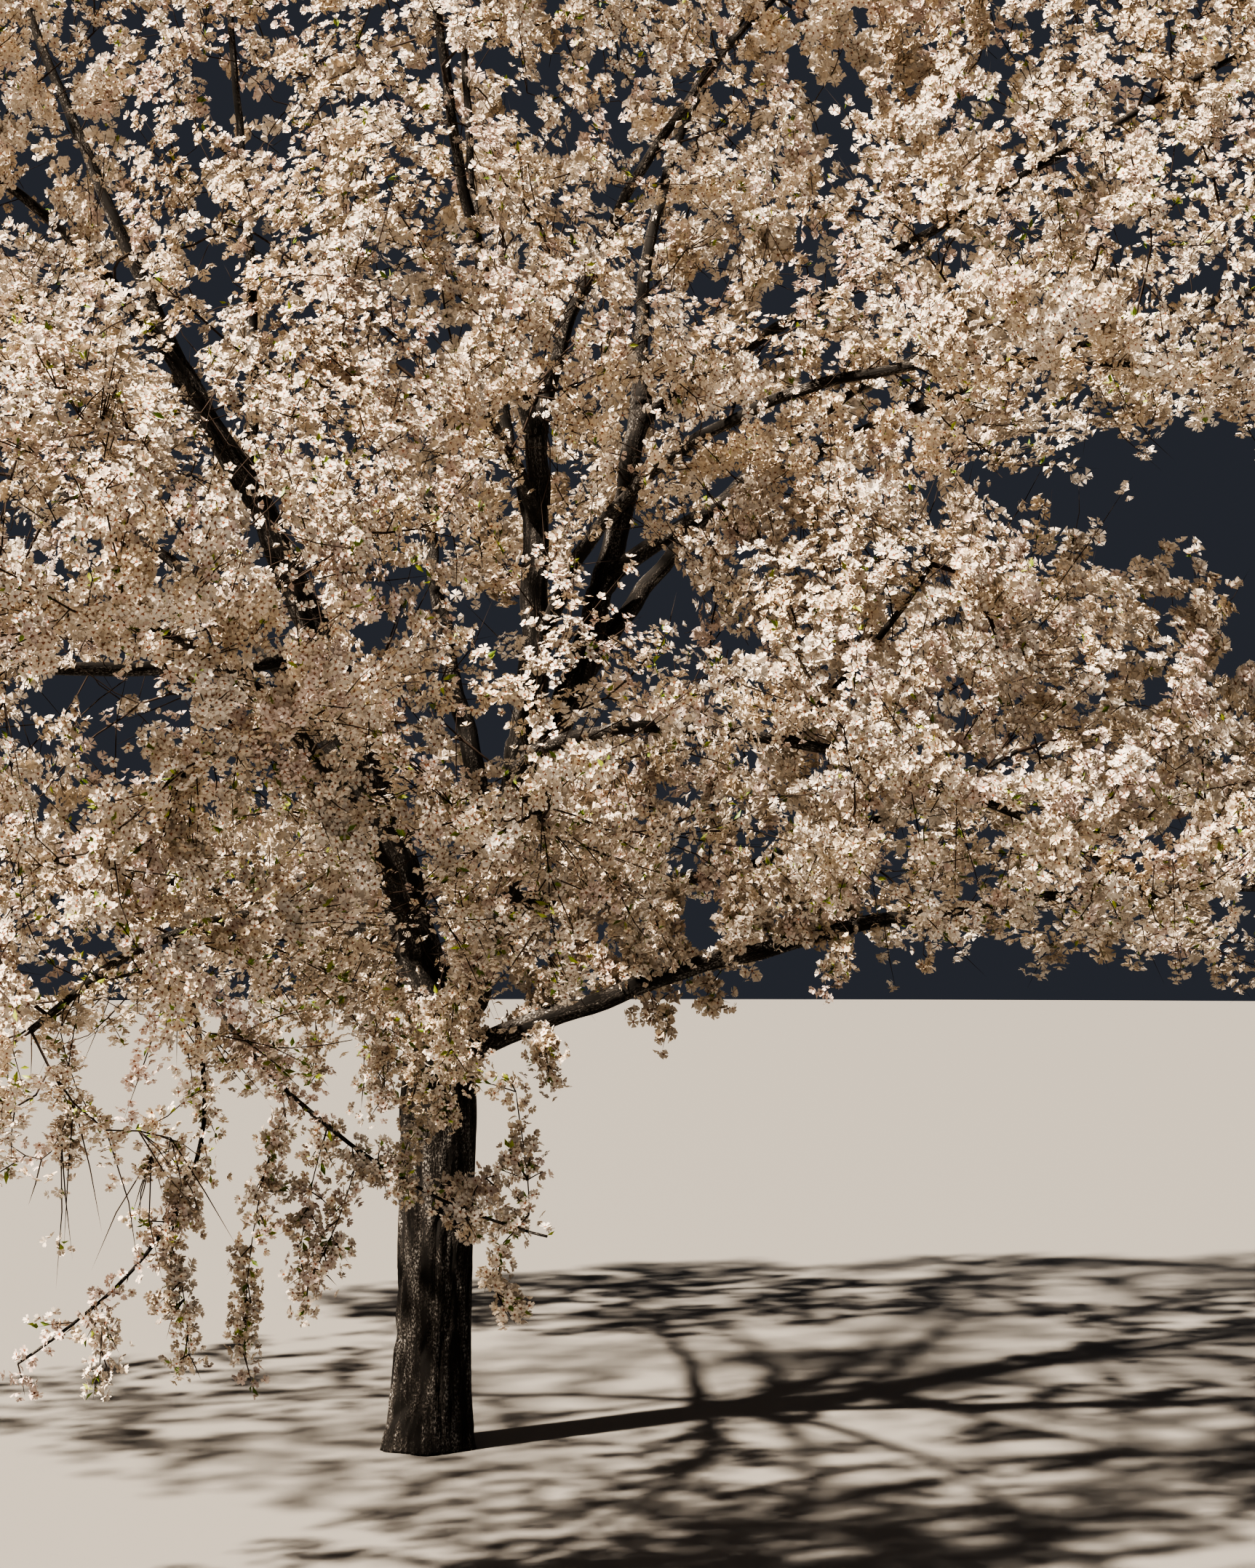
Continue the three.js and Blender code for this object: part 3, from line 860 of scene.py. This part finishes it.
# Branches grow towards open room, step by step, from every limb but the hanging ones
def grow(tree, targets, step, sight, near, rng):
    nearest = np.zeros(len(targets), int)
    distance = np.full(len(targets), np.inf)
    spent = np.zeros(len(targets), bool)
    known = 0
    for _ in range(MOST_ROUNDS):
        gaps = distances_between(targets, tree["points"][known:])
        in_spray = np.flatnonzero(tree["in_spray"][known:])
        gaps[:, in_spray] = np.inf
        best = gaps.argmin(1)
        best_gap = gaps[np.arange(len(targets)), best]
        closer = best_gap < distance
        nearest[closer] = known + best[closer]
        distance[closer] = best_gap[closer]
        known = len(tree["points"])
        spent |= distance < near
        pulling = ~spent & (distance < sight)
        if not pulling.any():
            return
        bases = nearest[pulling]
        pulls = np.zeros_like(tree["points"])
        np.add.at(pulls, bases, unit(targets[pulling] - tree["points"][bases]))
        growing = np.unique(bases)
        wander = rng.normal(0, WANDER, (len(growing), 3))
        ahead = unit(unit(pulls[growing]) + STIFFNESS * tree["headings"][growing] + wander)
        tips = tree["points"][growing] + step * ahead
        free = distances_between(tips, tree["points"]).min(1) > ELBOW_ROOM * step
        spent |= pulling & np.isin(nearest, growing[~free])
        if not free.any():
            return
        extend(tree, tips[free], ahead[free], growing[free])


def extend(tree, points, headings, parents):
    tree["points"] = np.vstack([tree["points"], points])
    tree["headings"] = np.vstack([tree["headings"], headings])
    tree["parents"] = np.concatenate([tree["parents"], parents])


def distances_between(a, b):
    squares = (a**2).sum(1)[:, None] + (b**2).sum(1)[None] - 2 * a @ b.T
    return np.sqrt(np.maximum(squares, 0))


def make_branches(limbs, crown):
    rng = np.random.default_rng(23)
    points, headings, limb_radii, parents, in_spray = [], [], [], [], []
    for name, limb in limbs.items():
        if name == "trunk":
            continue
        count = round(limb["length"] * (1 - LIMB_FOOT) / TWIG_STEP)
        for share in np.linspace(LIMB_FOOT, 1, count):
            parents.append(-1 if share == LIMB_FOOT else len(points) - 1)
            points.append(along(limb["path"], share))
            before, after = share - HEADING_STEP, share + HEADING_STEP
            headings.append(along(limb["path"], after) - along(limb["path"], before))
            limb_radii.append(radius_at(limb, share))
            in_spray.append(name.startswith("spray"))
    tree = {
        "points": np.array(points),
        "headings": unit(np.array(headings)),
        "parents": np.array(parents),
        "in_spray": np.array(in_spray),
    }
    for limb, twigs in HANGING_TWIGS.items():
        for share, *course in twigs:
            add_hanging_twig(tree, limbs[limb], share, course)
    for limb, first, last, count, rise, tip_rise, length in LOW_RIGHT_TWIGS:
        for share in np.linspace(first, last, count):
            bearing = rng.uniform(0, 360)
            tip_bearing = bearing + rng.uniform(-ROW_TURN, ROW_TURN)
            course = (bearing, rise, tip_bearing, tip_rise, length * rng.uniform(*ROW_LENGTHS))
            add_hanging_twig(tree, limbs[limb], share, course)
    room = open_room(crown, BRANCH_ROOM, False, rng)
    grow(tree, room, BRANCH_STEP, BRANCH_SIGHT, BRANCH_NEAR, rng)
    room = np.vstack([open_room(crown, TWIG_ROOM, False, rng), open_room(crown, FINE_ROOM, True, rng)])
    grow(tree, room, TWIG_STEP, TWIG_SIGHT, TWIG_NEAR, rng)
    tree["limb_radii"] = np.array(limb_radii)
    tree["radii"] = pipe_radii(tree)
    return tree


# A hanging twig leaves the branch point nearest its start
def add_hanging_twig(tree, limb, share, course):
    path = bough_path(along(limb["path"], share), *course, round(course[-1] / HANGING_STEP))
    count = len(tree["points"])
    base = np.linalg.norm(tree["points"] - path[0], axis=1).argmin()
    parents = np.concatenate([[base], np.arange(count, count + len(path) - 2)])
    extend(tree, path[1:], unit(np.diff(path, axis=0)), parents)
    tree["in_spray"] = np.concatenate([tree["in_spray"], np.ones(len(path) - 1, bool)])


# Each branch is as thick as all the twigs it feeds
def pipe_radii(tree):
    count = len(tree["points"])
    limb_count = len(tree["limb_radii"])
    area = np.zeros(count)
    for i in range(count - 1, limb_count - 1, -1):
        area[i] = max(area[i], TIP_RADIUS**PIPE_POWER)
        area[tree["parents"][i]] += area[i]
    radii = area ** (1 / PIPE_POWER)
    radii[:limb_count] = tree["limb_radii"]
    for i in range(limb_count, count):
        radii[i] = min(radii[i], TWIG_THINNING * radii[tree["parents"][i]] + TWIG_EVENING)
    return radii


# Tubes along the branches, each ring turned as little as possible from the one before
def branch_tubes(tree):
    limb_count = len(tree["limb_radii"])
    points, parents, radii = tree["points"], tree["parents"], tree["radii"]
    heirs = {}
    for i in range(limb_count, len(points)):
        base = parents[i]
        if base not in heirs or radii[i] > radii[heirs[base]]:
            heirs[base] = i
    corners, faces = [], []
    rings, frames = {}, {}
    for i in range(limb_count, len(points)):
        base = parents[i]
        forward = unit(points[i] - points[base])
        if i in heirs:
            forward = unit(forward + unit(points[heirs[i]] - points[i]))
        sides = THICK_SIDES if radii[i] > THICK_TWIG else THIN_SIDES
        goes_on = base in rings and heirs[base] == i and rings[base][1] == sides
        side = frames.get(base, ASKEW)
        if not goes_on:
            way = unit(points[i] - points[base])
            side = unit(side - side.dot(way) * way)
            radius = min(radii[i] * TWIG_FOOT, radii[base])
            add_ring(corners, rings, -1, points[base], way, side, radius, sides)
            first = rings[-1][0]
        else:
            first = rings[base][0]
        side = unit(side - side.dot(forward) * forward)
        frames[i] = side
        end_radius = radii[i] if i in heirs else TWIG_END * radii[i]
        add_ring(corners, rings, i, points[i], forward, side, end_radius, sides)
        second = rings[i][0]
        for s in range(sides):
            t = (s + 1) % sides
            faces.append((first + s, first + t, second + t))
            faces.append((first + s, second + t, second + s))
    return np.array(corners), np.array(faces)


def add_ring(corners, rings, key, centre, forward, side, radius, sides):
    rings[key] = (len(corners), sides)
    across = np.cross(forward, side)
    for s in range(sides):
        corners.append(centre + radius * spoke(side, across, s, sides))


# The way out to one of the evenly spaced corners of a ring
def spoke(side, across, s, sides):
    turn = 2 * math.pi * s / sides
    return math.cos(turn) * side + math.sin(turn) * across


# Weights that share choices out by each cell's need, however many points the cell holds
def even_weight(crown, points):
    cell = np.ravel_multi_index(cell_of(crown, points), crown["owner"].shape)
    held = np.bincount(cell)[cell]
    need = crown["need"].ravel()[cell]
    return need / held + LEAST_WEIGHT


# The branch points that are thin enough to bloom, those of the thinnest limbs with them
def thin_twigs(tree):
    number = np.arange(len(tree["points"]))
    grown = number >= len(tree["limb_radii"])
    most = np.where(grown, BLOOMING_RADIUS, BLOOMING_LIMB_RADIUS)
    return number[(tree["radii"] < most) & (tree["parents"] >= 0)]


# Flowering shoots grow from the thin twigs, out of the crown and upwards, and short ones grow
# every way from the hanging twigs
def make_shoots(tree, crown):
    rng = np.random.default_rng(37)
    thin = thin_twigs(tree)
    spray = np.flatnonzero(tree["in_spray"])
    thin = thin[~np.isin(thin, spray)]
    weight = even_weight(crown, tree["points"][thin])
    chosen = rng.choice(thin, SHOOTS, p=weight / weight.sum())
    chosen = np.concatenate([chosen, rng.choice(spray, HANGING_SHOOTS)])
    hanging = np.arange(len(chosen)) >= SHOOTS
    starts = tree["points"][chosen]
    out = crown["out"][cell_of(crown, starts)]
    out = np.where(hanging[:, None], unit(rng.normal(0, 1, out.shape)), out)
    lift = LIFT * np.clip((starts[:, 2:] - LIFT_HEIGHT) / LIFT_RANGE, *LIFT_SHARES) * UP
    scatter = rng.normal(0, SHOOT_WANDER, starts.shape)
    ahead = unit(SHOOT_HOLD * tree["headings"][chosen] + SHOOT_HOLD * out + lift + scatter)
    lengths = rng.uniform(*SHOOT_LENGTHS, len(starts))
    short = rng.uniform(*HANGING_SHOOT_LENGTHS, len(starts))
    lengths = np.where(hanging, short, lengths)[:, None]
    middles = starts + ahead * lengths / 2
    bent = unit(ahead + SHOOT_BEND * lift + rng.normal(0, SHOOT_BEND_WANDER, starts.shape))
    tips = middles + bent * lengths / 2
    fits = in_box(tips, BOX_MARGIN) & (crown["reach"][cell_of(crown, tips)] | hanging)
    return select({"starts": starts, "middles": middles, "tips": tips, "hanging": hanging}, fits)


def shoot_tubes(shoots):
    starts, middles, tips = shoots["starts"], shoots["middles"], shoots["tips"]
    forward = unit(tips - starts)
    side = unit(np.cross(forward, ASKEW))
    across = np.cross(forward, side)
    sides = THIN_SIDES
    rings = []
    for centre, share in ((starts, 1), (middles, SHOOT_MIDDLE)):
        for s in range(sides):
            rings.append(centre + SHOOT_RADIUS * share * spoke(side, across, s, sides))
    rings.append(tips)
    pattern = []
    for s in range(sides):
        a, b = sides + s, sides + (s + 1) % sides
        pattern += [(s, b - sides, b), (s, b, a), (a, b, 2 * sides)]
    return np.stack(rings, axis=1).reshape(-1, 3), repeat_faces(pattern, len(rings), len(starts))


# The faces of many like shapes, each of this many corners
def repeat_faces(pattern, corners, copies):
    return (np.array(pattern) + corners * np.arange(copies)[:, None, None]).reshape(-1, 3)


def make_twigs(tree, shoots):
    corners, faces = branch_tubes(tree)
    more_corners, more_faces = shoot_tubes(shoots)
    faces = np.vstack([faces, more_faces + len(corners)])
    corners = np.vstack([corners, more_corners])
    piece = triangle_piece("twigs", corners, faces, [twig_material()])
    finish_piece(piece, [])


# Clusters of flowers: where each sits on its twig, the twig's direction and its spray's number
def make_clusters(tree, shoots, crown):
    rng = np.random.default_rng(41)
    thin = thin_twigs(tree)
    bases = tree["points"][tree["parents"][thin]]
    ends = tree["points"][thin]
    in_spray = np.isin(thin, np.flatnonzero(tree["in_spray"]))
    parts = [(bases, ends, thin // SPRAY_POINTS, in_spray)]
    spray = SHOOT_SPRAYS + np.arange(len(shoots["starts"]))
    parts.append((shoots["starts"], shoots["middles"], spray, shoots["hanging"]))
    parts.append((shoots["middles"], shoots["tips"], spray, shoots["hanging"]))
    centres, axes, sprays, hanging = [], [], [], []
    for first, second, number, hangs in parts:
        length = np.linalg.norm(second - first, axis=1)
        counts = np.floor(length / CLUSTER_STEP + rng.random(len(first))).astype(int)
        rows = np.repeat(np.arange(len(first)), counts)
        share = rng.random(len(rows))[:, None]
        centres.append(mix(first[rows], second[rows], share))
        axes.append(unit(second - first)[rows])
        sprays.append(number[rows])
        hanging.append(hangs[rows])
    clusters = {
        "centres": np.vstack(centres),
        "axes": np.vstack(axes),
        "sprays": np.concatenate(sprays),
    }
    hanging = np.concatenate(hanging)
    cell = cell_of(crown, clusters["centres"])
    clusters["need"] = np.where(hanging, HANGING_NEED, crown["need"][cell])
    clusters["out"] = np.where(hanging[:, None], 0, crown["out"][cell])
    weight = even_weight(crown, clusters["centres"])
    rich = rng.random(clusters["sprays"].max() + 1) < RICH_SPRAYS
    weight = weight * np.where(rich[clusters["sprays"]], 1, POOR_SPRAY) * ~hanging
    wanted = round(FLOWERS * 2 / sum(CLUSTER_FLOWERS))
    count = len(weight)
    kept = rng.choice(count, wanted, replace=False, p=weight / weight.sum())
    hung = np.flatnonzero(hanging & (rng.random(count) < HANGING_KEPT))
    kept = np.sort(np.concatenate([kept, hung]))
    return select(clusters, kept)


# Flowers stand out from their cluster on short stalks and face outwards
def make_flowers(clusters, crown, limbs):
    rng = np.random.default_rng(53)
    counts = rng.integers(*CLUSTER_FLOWERS, len(clusters["centres"]), endpoint=True)
    rows = np.repeat(np.arange(len(counts)), counts)
    axis = clusters["axes"][rows]
    outward = clusters["out"][rows]
    loose = unit(rng.normal(0, 1, (len(rows), 3)))
    loose -= STALK_ACROSS * (loose * axis).sum(1)[:, None] * axis
    away = unit(unit(loose) + STALK_ALONG * axis + STALK_OUT * outward + STALK_LIFT * UP)
    stalk = rng.uniform(*STALK_LENGTHS, len(rows))[:, None]
    centres = clusters["centres"][rows] + away * stalk
    facing = unit(FACING_STALK * away + outward + rng.normal(0, FACING_WANDER, (len(rows), 3)))
    need = clusters["need"][rows]
    back = np.clip((centres[:, 1] - BACK_START) / BACK_DEPTH, 0, 1)
    inner = np.clip(1 - need / INNER_NEED, 0, 1) * ~is_near_in_photo(centres)
    radius = mix(mix(FLOWER_RADIUS, BACK_FLOWER_RADIUS, back), INNER_FLOWER_RADIUS, inner)
    radius *= rng.uniform(*FLOWER_SIZES, len(rows))
    fits = in_box(centres, 0) & ~(hides_limb(centres, limbs) & (rng.random(len(rows)) < SHOWN_SHARE))
    owner = crown["owner"][cell_of(crown, centres)]
    flowers = {
        "centres": centres, "facing": facing, "radius": radius, "need": need,
        "sprays": clusters["sprays"][rows], "owner": owner,
    }
    return select(flowers, fits)


def is_near_in_photo(points):
    across, down, _ = in_photo(points)
    shown = (across > 0) & (across < PHOTO_SIZE[0]) & (down > 0) & (down < PHOTO_SIZE[1])
    return shown & (points[:, 1] < FRONT_DEPTH)


# Whether points stand in front of a stretch of limb that shows in the photograph
def hides_limb(points, limbs):
    across, down, away = in_photo(points)
    rows = np.arange(len(points))
    hides = np.zeros(len(points), bool)
    for name, first, last in SHOWN_LIMBS:
        shares = np.linspace(first, last, SHOWN_STEPS)
        path = np.array([along(limbs[name]["path"], share) for share in shares])
        path_across, path_down, path_away = in_photo(path)
        widths = photo_scale() * radius_at(limbs[name], shares) / path_away + SHOWN_MARGIN
        gaps = np.hypot(across[:, None] - path_across, down[:, None] - path_down)
        nearest = gaps.argmin(1)
        hides |= (gaps[rows, nearest] < widths[nearest]) & (away < path_away[nearest])
    return hides


# Two ways straight out from each heading, turned at random
def random_sides(headings, rng):
    side = unit(np.cross(headings, unit(rng.normal(0, 1, headings.shape))))
    return side, np.cross(headings, side)


# Petals for a set of flowers, as corners and faces
def petals(flowers, outline, rng):
    facing = flowers["facing"]
    count = len(facing)
    side, across = random_sides(facing, rng)
    turn = rng.uniform(0, 2 * math.pi, (count, 1)) + 2 * math.pi * np.arange(PETALS) / PETALS
    turn = (turn + rng.normal(0, PETAL_TURN, (count, PETALS)))[..., None]
    way = np.cos(turn) * side[:, None] + np.sin(turn) * across[:, None]
    over = np.cross(facing[:, None], way)
    cup = rng.uniform(*PETAL_CUPS, (count, 1, 1)) + rng.normal(0, PETAL_UNEVEN_CUP, (count, PETALS, 1))
    rise = np.cos(cup) * way + np.sin(cup) * facing[:, None]
    size = flowers["radius"][:, None, None] * rng.uniform(*PETAL_SIZES, (count, PETALS, 1))
    centres = flowers["centres"][:, None]
    points = []
    for reach, width in outline:
        spoon = PETAL_SPOON * abs(width) * facing[:, None]
        points.append(centres + size * (reach * rise + width * over + spoon))
    corners = np.stack(points, axis=2).reshape(-1, 3)
    fan = [(0, i, i + 1) for i in range(1, len(outline) - 1)]
    return corners, repeat_faces(fan, len(outline), count * PETALS)


def make_blossom(flowers):
    rng = np.random.default_rng(67)
    tints = [plain_material(name, colour, PETAL_ROUGHNESS) for name, (colour, _) in PETAL_TINTS.items()]
    shares = [share for _, share in PETAL_TINTS.values()]
    tint_of_spray = rng.choice(len(tints), flowers["sprays"].max() + 1, p=shares)
    nearest = nearest_group(flowers)
    for group, names in GROUPS.items():
        own = select(flowers, nearest == group)
        detail = detail_of(own)
        corners, faces, tint = [], [], []
        start = 0
        for level, outline in enumerate(PETAL_OUTLINES):
            part = select(own, detail == level)
            part_corners, part_faces = petals(part, outline, rng)
            corners.append(part_corners)
            faces.append(part_faces + start)
            start += len(part_corners)
            per_flower = PETALS * (len(outline) - 2)
            tint.append(np.repeat(tint_of_spray[part["sprays"]], per_flower))
        piece = triangle_piece(
            "blossom_" + group, np.vstack(corners), np.vstack(faces), tints, np.concatenate(tint)
        )
        finish_piece(piece, list(names))


# The group of masses that a flower belongs to: its own cell's, or by where it stands
def nearest_group(flowers):
    owner = flowers["owner"]
    groups = np.array([group for group, masses in GROUPS.items() for _ in masses])
    x, y, z = flowers["centres"].T
    right = np.where(y < RIGHT_FRONT_TO, "right_front", "right")
    loose = np.where(x > RIGHT_FROM, right, np.where(x < LEFT_TO, "left", "front"))
    loose = np.where(z > TOP_FROM, "top", np.where(y > BACK_FROM, "back", loose))
    low_left = np.where(z < FRONT_LEFT_LOW_TO, "front_left_low", "front_left")
    loose = np.where((z < FRONT_LEFT_TOP) & (y < 0) & (x < FRONT_LEFT_SIDE), low_left, loose)
    return np.where(owner >= 0, groups[np.maximum(owner, 0)], loose)


# Which of the petals' outlines each flower has
def detail_of(flowers):
    y, z = flowers["centres"][:, 1], flowers["centres"][:, 2]
    level = np.full(len(y), 2)
    hangs = (y < 0) & (z < MIDDLE_HEIGHT)
    level[((y < MIDDLE_DEPTH) | hangs) & (flowers["need"] > MIDDLE_NEED)] = 1
    level[(y < NEAR_DEPTH) & (z < NEAR_HEIGHT)] = 0
    return level


def make_centres(flowers):
    rng = np.random.default_rng(71)
    shown = select(flowers, flowers["need"] > CENTRE_NEED)
    side, across = random_sides(shown["facing"], rng)
    radius = shown["radius"][:, None]
    middle = shown["centres"] + CENTRE_RISE * radius * shown["facing"]
    points = [middle + CENTRE_SHARE * radius * spoke(side, across, s, 3) for s in range(3)]
    corners = np.stack(points, axis=1).reshape(-1, 3)
    faces = np.arange(len(corners)).reshape(-1, 3)
    piece = triangle_piece("flower_centres", corners, faces, [centre_material()])
    finish_piece(piece, [])


# Young leaves in small tufts
def make_leaves(clusters, limbs):
    rng = np.random.default_rng(83)
    share = np.where(clusters["centres"][:, 2] < LOW_LEAF_HEIGHT, LOW_LEAVES, HIGH_LEAVES)
    share *= ~hides_limb(clusters["centres"], limbs)
    chosen = select(clusters, rng.random(len(share)) < share)
    counts = rng.integers(1, MOST_LEAVES, len(chosen["need"]), endpoint=True)
    rows = np.repeat(np.arange(len(counts)), counts)
    loose = rng.normal(0, LEAF_WANDER, (len(rows), 3))
    ahead = unit(chosen["axes"][rows] + loose + LEAF_LIFT * UP)
    side, over = random_sides(ahead, rng)
    length = rng.uniform(*LEAF_LENGTHS, len(rows))[:, None]
    base = chosen["centres"][rows] + LEAF_STALK * ahead
    tip = base + length * ahead
    fold = (base + tip) / 2 + LEAF_FOLD * length * over
    half = LEAF_WIDTH * length * side
    corners = np.stack([base, fold - half, tip, fold + half], axis=1).reshape(-1, 3)
    faces = repeat_faces([(0, 1, 2), (0, 2, 3)], 4, len(rows))
    tint = np.repeat(rng.integers(0, 2, len(rows)), 2)
    piece = triangle_piece("leaves", corners, faces, leaf_materials(), tint)
    finish_piece(piece, [])


# Materials
def plain_material(name, colour, roughness):
    material = bpy.data.materials.new(name)
    material.use_nodes = True
    shader = material.node_tree.nodes["Principled BSDF"]
    shader.inputs["Base Color"].default_value = (*colour, 1)
    shader.inputs["Roughness"].default_value = roughness
    return material


def centre_material():
    return plain_material("flower_centre", (0.3, 0.13, 0.07), 0.7)


def leaf_materials():
    return [
        plain_material("leaf_yellow_green", (0.3, 0.36, 0.06), 0.5),
        plain_material("leaf_green", (0.16, 0.24, 0.04), 0.5),
    ]


def twig_material():
    return plain_material("twig_bark", (0.045, 0.029, 0.021), 0.8)


# Dark bark with rows of pale speckles that run up the limb
def bark_material():
    material = plain_material("cherry_bark", (0.075, 0.055, 0.042), 0.85)
    rows = noise_share(material, (30, 5, 1), 5, (0.42, 0.64), (0, 1))
    speckles = noise_share(material, (210, 110, 1), 3, (0.42, 0.62), (0.12, 1))
    multiply = add_node(material, "ShaderNodeMath", {}, {0: rows, 1: speckles})
    multiply.operation = "MULTIPLY"
    pale = multiply.outputs["Value"]
    tones = add_node(material, "ShaderNodeValToRGB", {}, {"Fac": pale})
    tones.color_ramp.elements.new(0.5)
    for element, (position, colour) in zip(tones.color_ramp.elements, BARK_TONES):
        element.position = position
        element.color = (*colour, 1)
    bump = add_node(material, "ShaderNodeBump", {"Strength": 0.7, "Distance": 0.006}, {"Height": pale})
    shader = material.node_tree.nodes["Principled BSDF"]
    material.node_tree.links.new(tones.outputs["Color"], shader.inputs["Base Color"])
    material.node_tree.links.new(bump.outputs["Normal"], shader.inputs["Normal"])
    return material


# Noise laid along the bark, brought from one range of values to another
def noise_share(material, scale, detail, given, wanted):
    place = add_node(material, "ShaderNodeAttribute", {}, {})
    place.attribute_name = "bark_place"
    stretch = add_node(material, "ShaderNodeMapping", {"Scale": scale}, {"Vector": place.outputs["Vector"]})
    settings = {"Scale": 1.0, "Detail": detail, "Roughness": 0.65}
    noise = add_node(material, "ShaderNodeTexNoise", settings, {"Vector": stretch.outputs["Vector"]})
    ends = {"From Min": given[0], "From Max": given[1], "To Min": wanted[0], "To Max": wanted[1]}
    return add_node(material, "ShaderNodeMapRange", ends, {"Value": noise.outputs["Fac"]}).outputs["Result"]


# A node with some of its inputs set and others linked
def add_node(material, kind, values, sources):
    node = material.node_tree.nodes.new(kind)
    for name, value in values.items():
        node.inputs[name].default_value = value
    for name, source in sources.items():
        material.node_tree.links.new(source, node.inputs[name])
    return node


# Floor, light and camera
def make_floor():
    bpy.ops.mesh.primitive_circle_add(vertices=96, radius=FLOOR_RADIUS, fill_type="NGON")
    floor = bpy.context.object
    floor.name = "floor"
    floor.data.materials.append(plain_material("floor_pale", (0.26, 0.25, 0.235), 0.9))


def make_sun(name, bearing, rise, strength, colour, width):
    light = bpy.data.lights.new(name, "SUN")
    light.energy = strength
    light.color = colour
    light.angle = math.radians(width)
    sun = bpy.data.objects.new(name, light)
    sun.rotation_euler = (math.radians(90 - rise), 0, math.radians(bearing + 90))
    bpy.context.scene.collection.objects.link(sun)


def make_light():
    world = bpy.data.worlds.new("backdrop")
    bpy.context.scene.world = world
    world.use_nodes = True
    backdrop = world.node_tree.nodes["Background"]
    backdrop.inputs["Color"].default_value = (0.045, 0.049, 0.06, 1)
    backdrop.inputs["Strength"].default_value = 1.0
    make_sun("key", bearing=216, rise=50, strength=9.6, colour=(1.0, 0.885, 0.755), width=2)
    make_sun("fill", bearing=320, rise=35, strength=0.15, colour=(0.85, 0.9, 1.0), width=60)
    bpy.context.scene.view_settings.view_transform = "AgX"
    bpy.context.scene.view_settings.look = "AgX - Very High Contrast"


def make_camera():
    lens = bpy.data.cameras.new("camera")
    lens.lens = CAMERA_LENS
    lens.sensor_width = FILM_WIDTH
    camera = bpy.data.objects.new("camera", lens)
    camera.location = CAMERA_PLACE
    camera.rotation_euler = (math.radians(90 + CAMERA_PITCH), 0, 0)
    bpy.context.scene.collection.objects.link(camera)
    bpy.context.scene.camera = camera


make_camera()
make_light()
make_floor()
limbs = make_limbs()
make_bark(limbs)
crown = survey_crown()
tree = make_branches(limbs, crown)
shoots = make_shoots(tree, crown)
make_twigs(tree, shoots)
clusters = make_clusters(tree, shoots, crown)
flowers = make_flowers(clusters, crown, limbs)
make_blossom(flowers)
make_centres(flowers)
make_leaves(clusters, limbs)
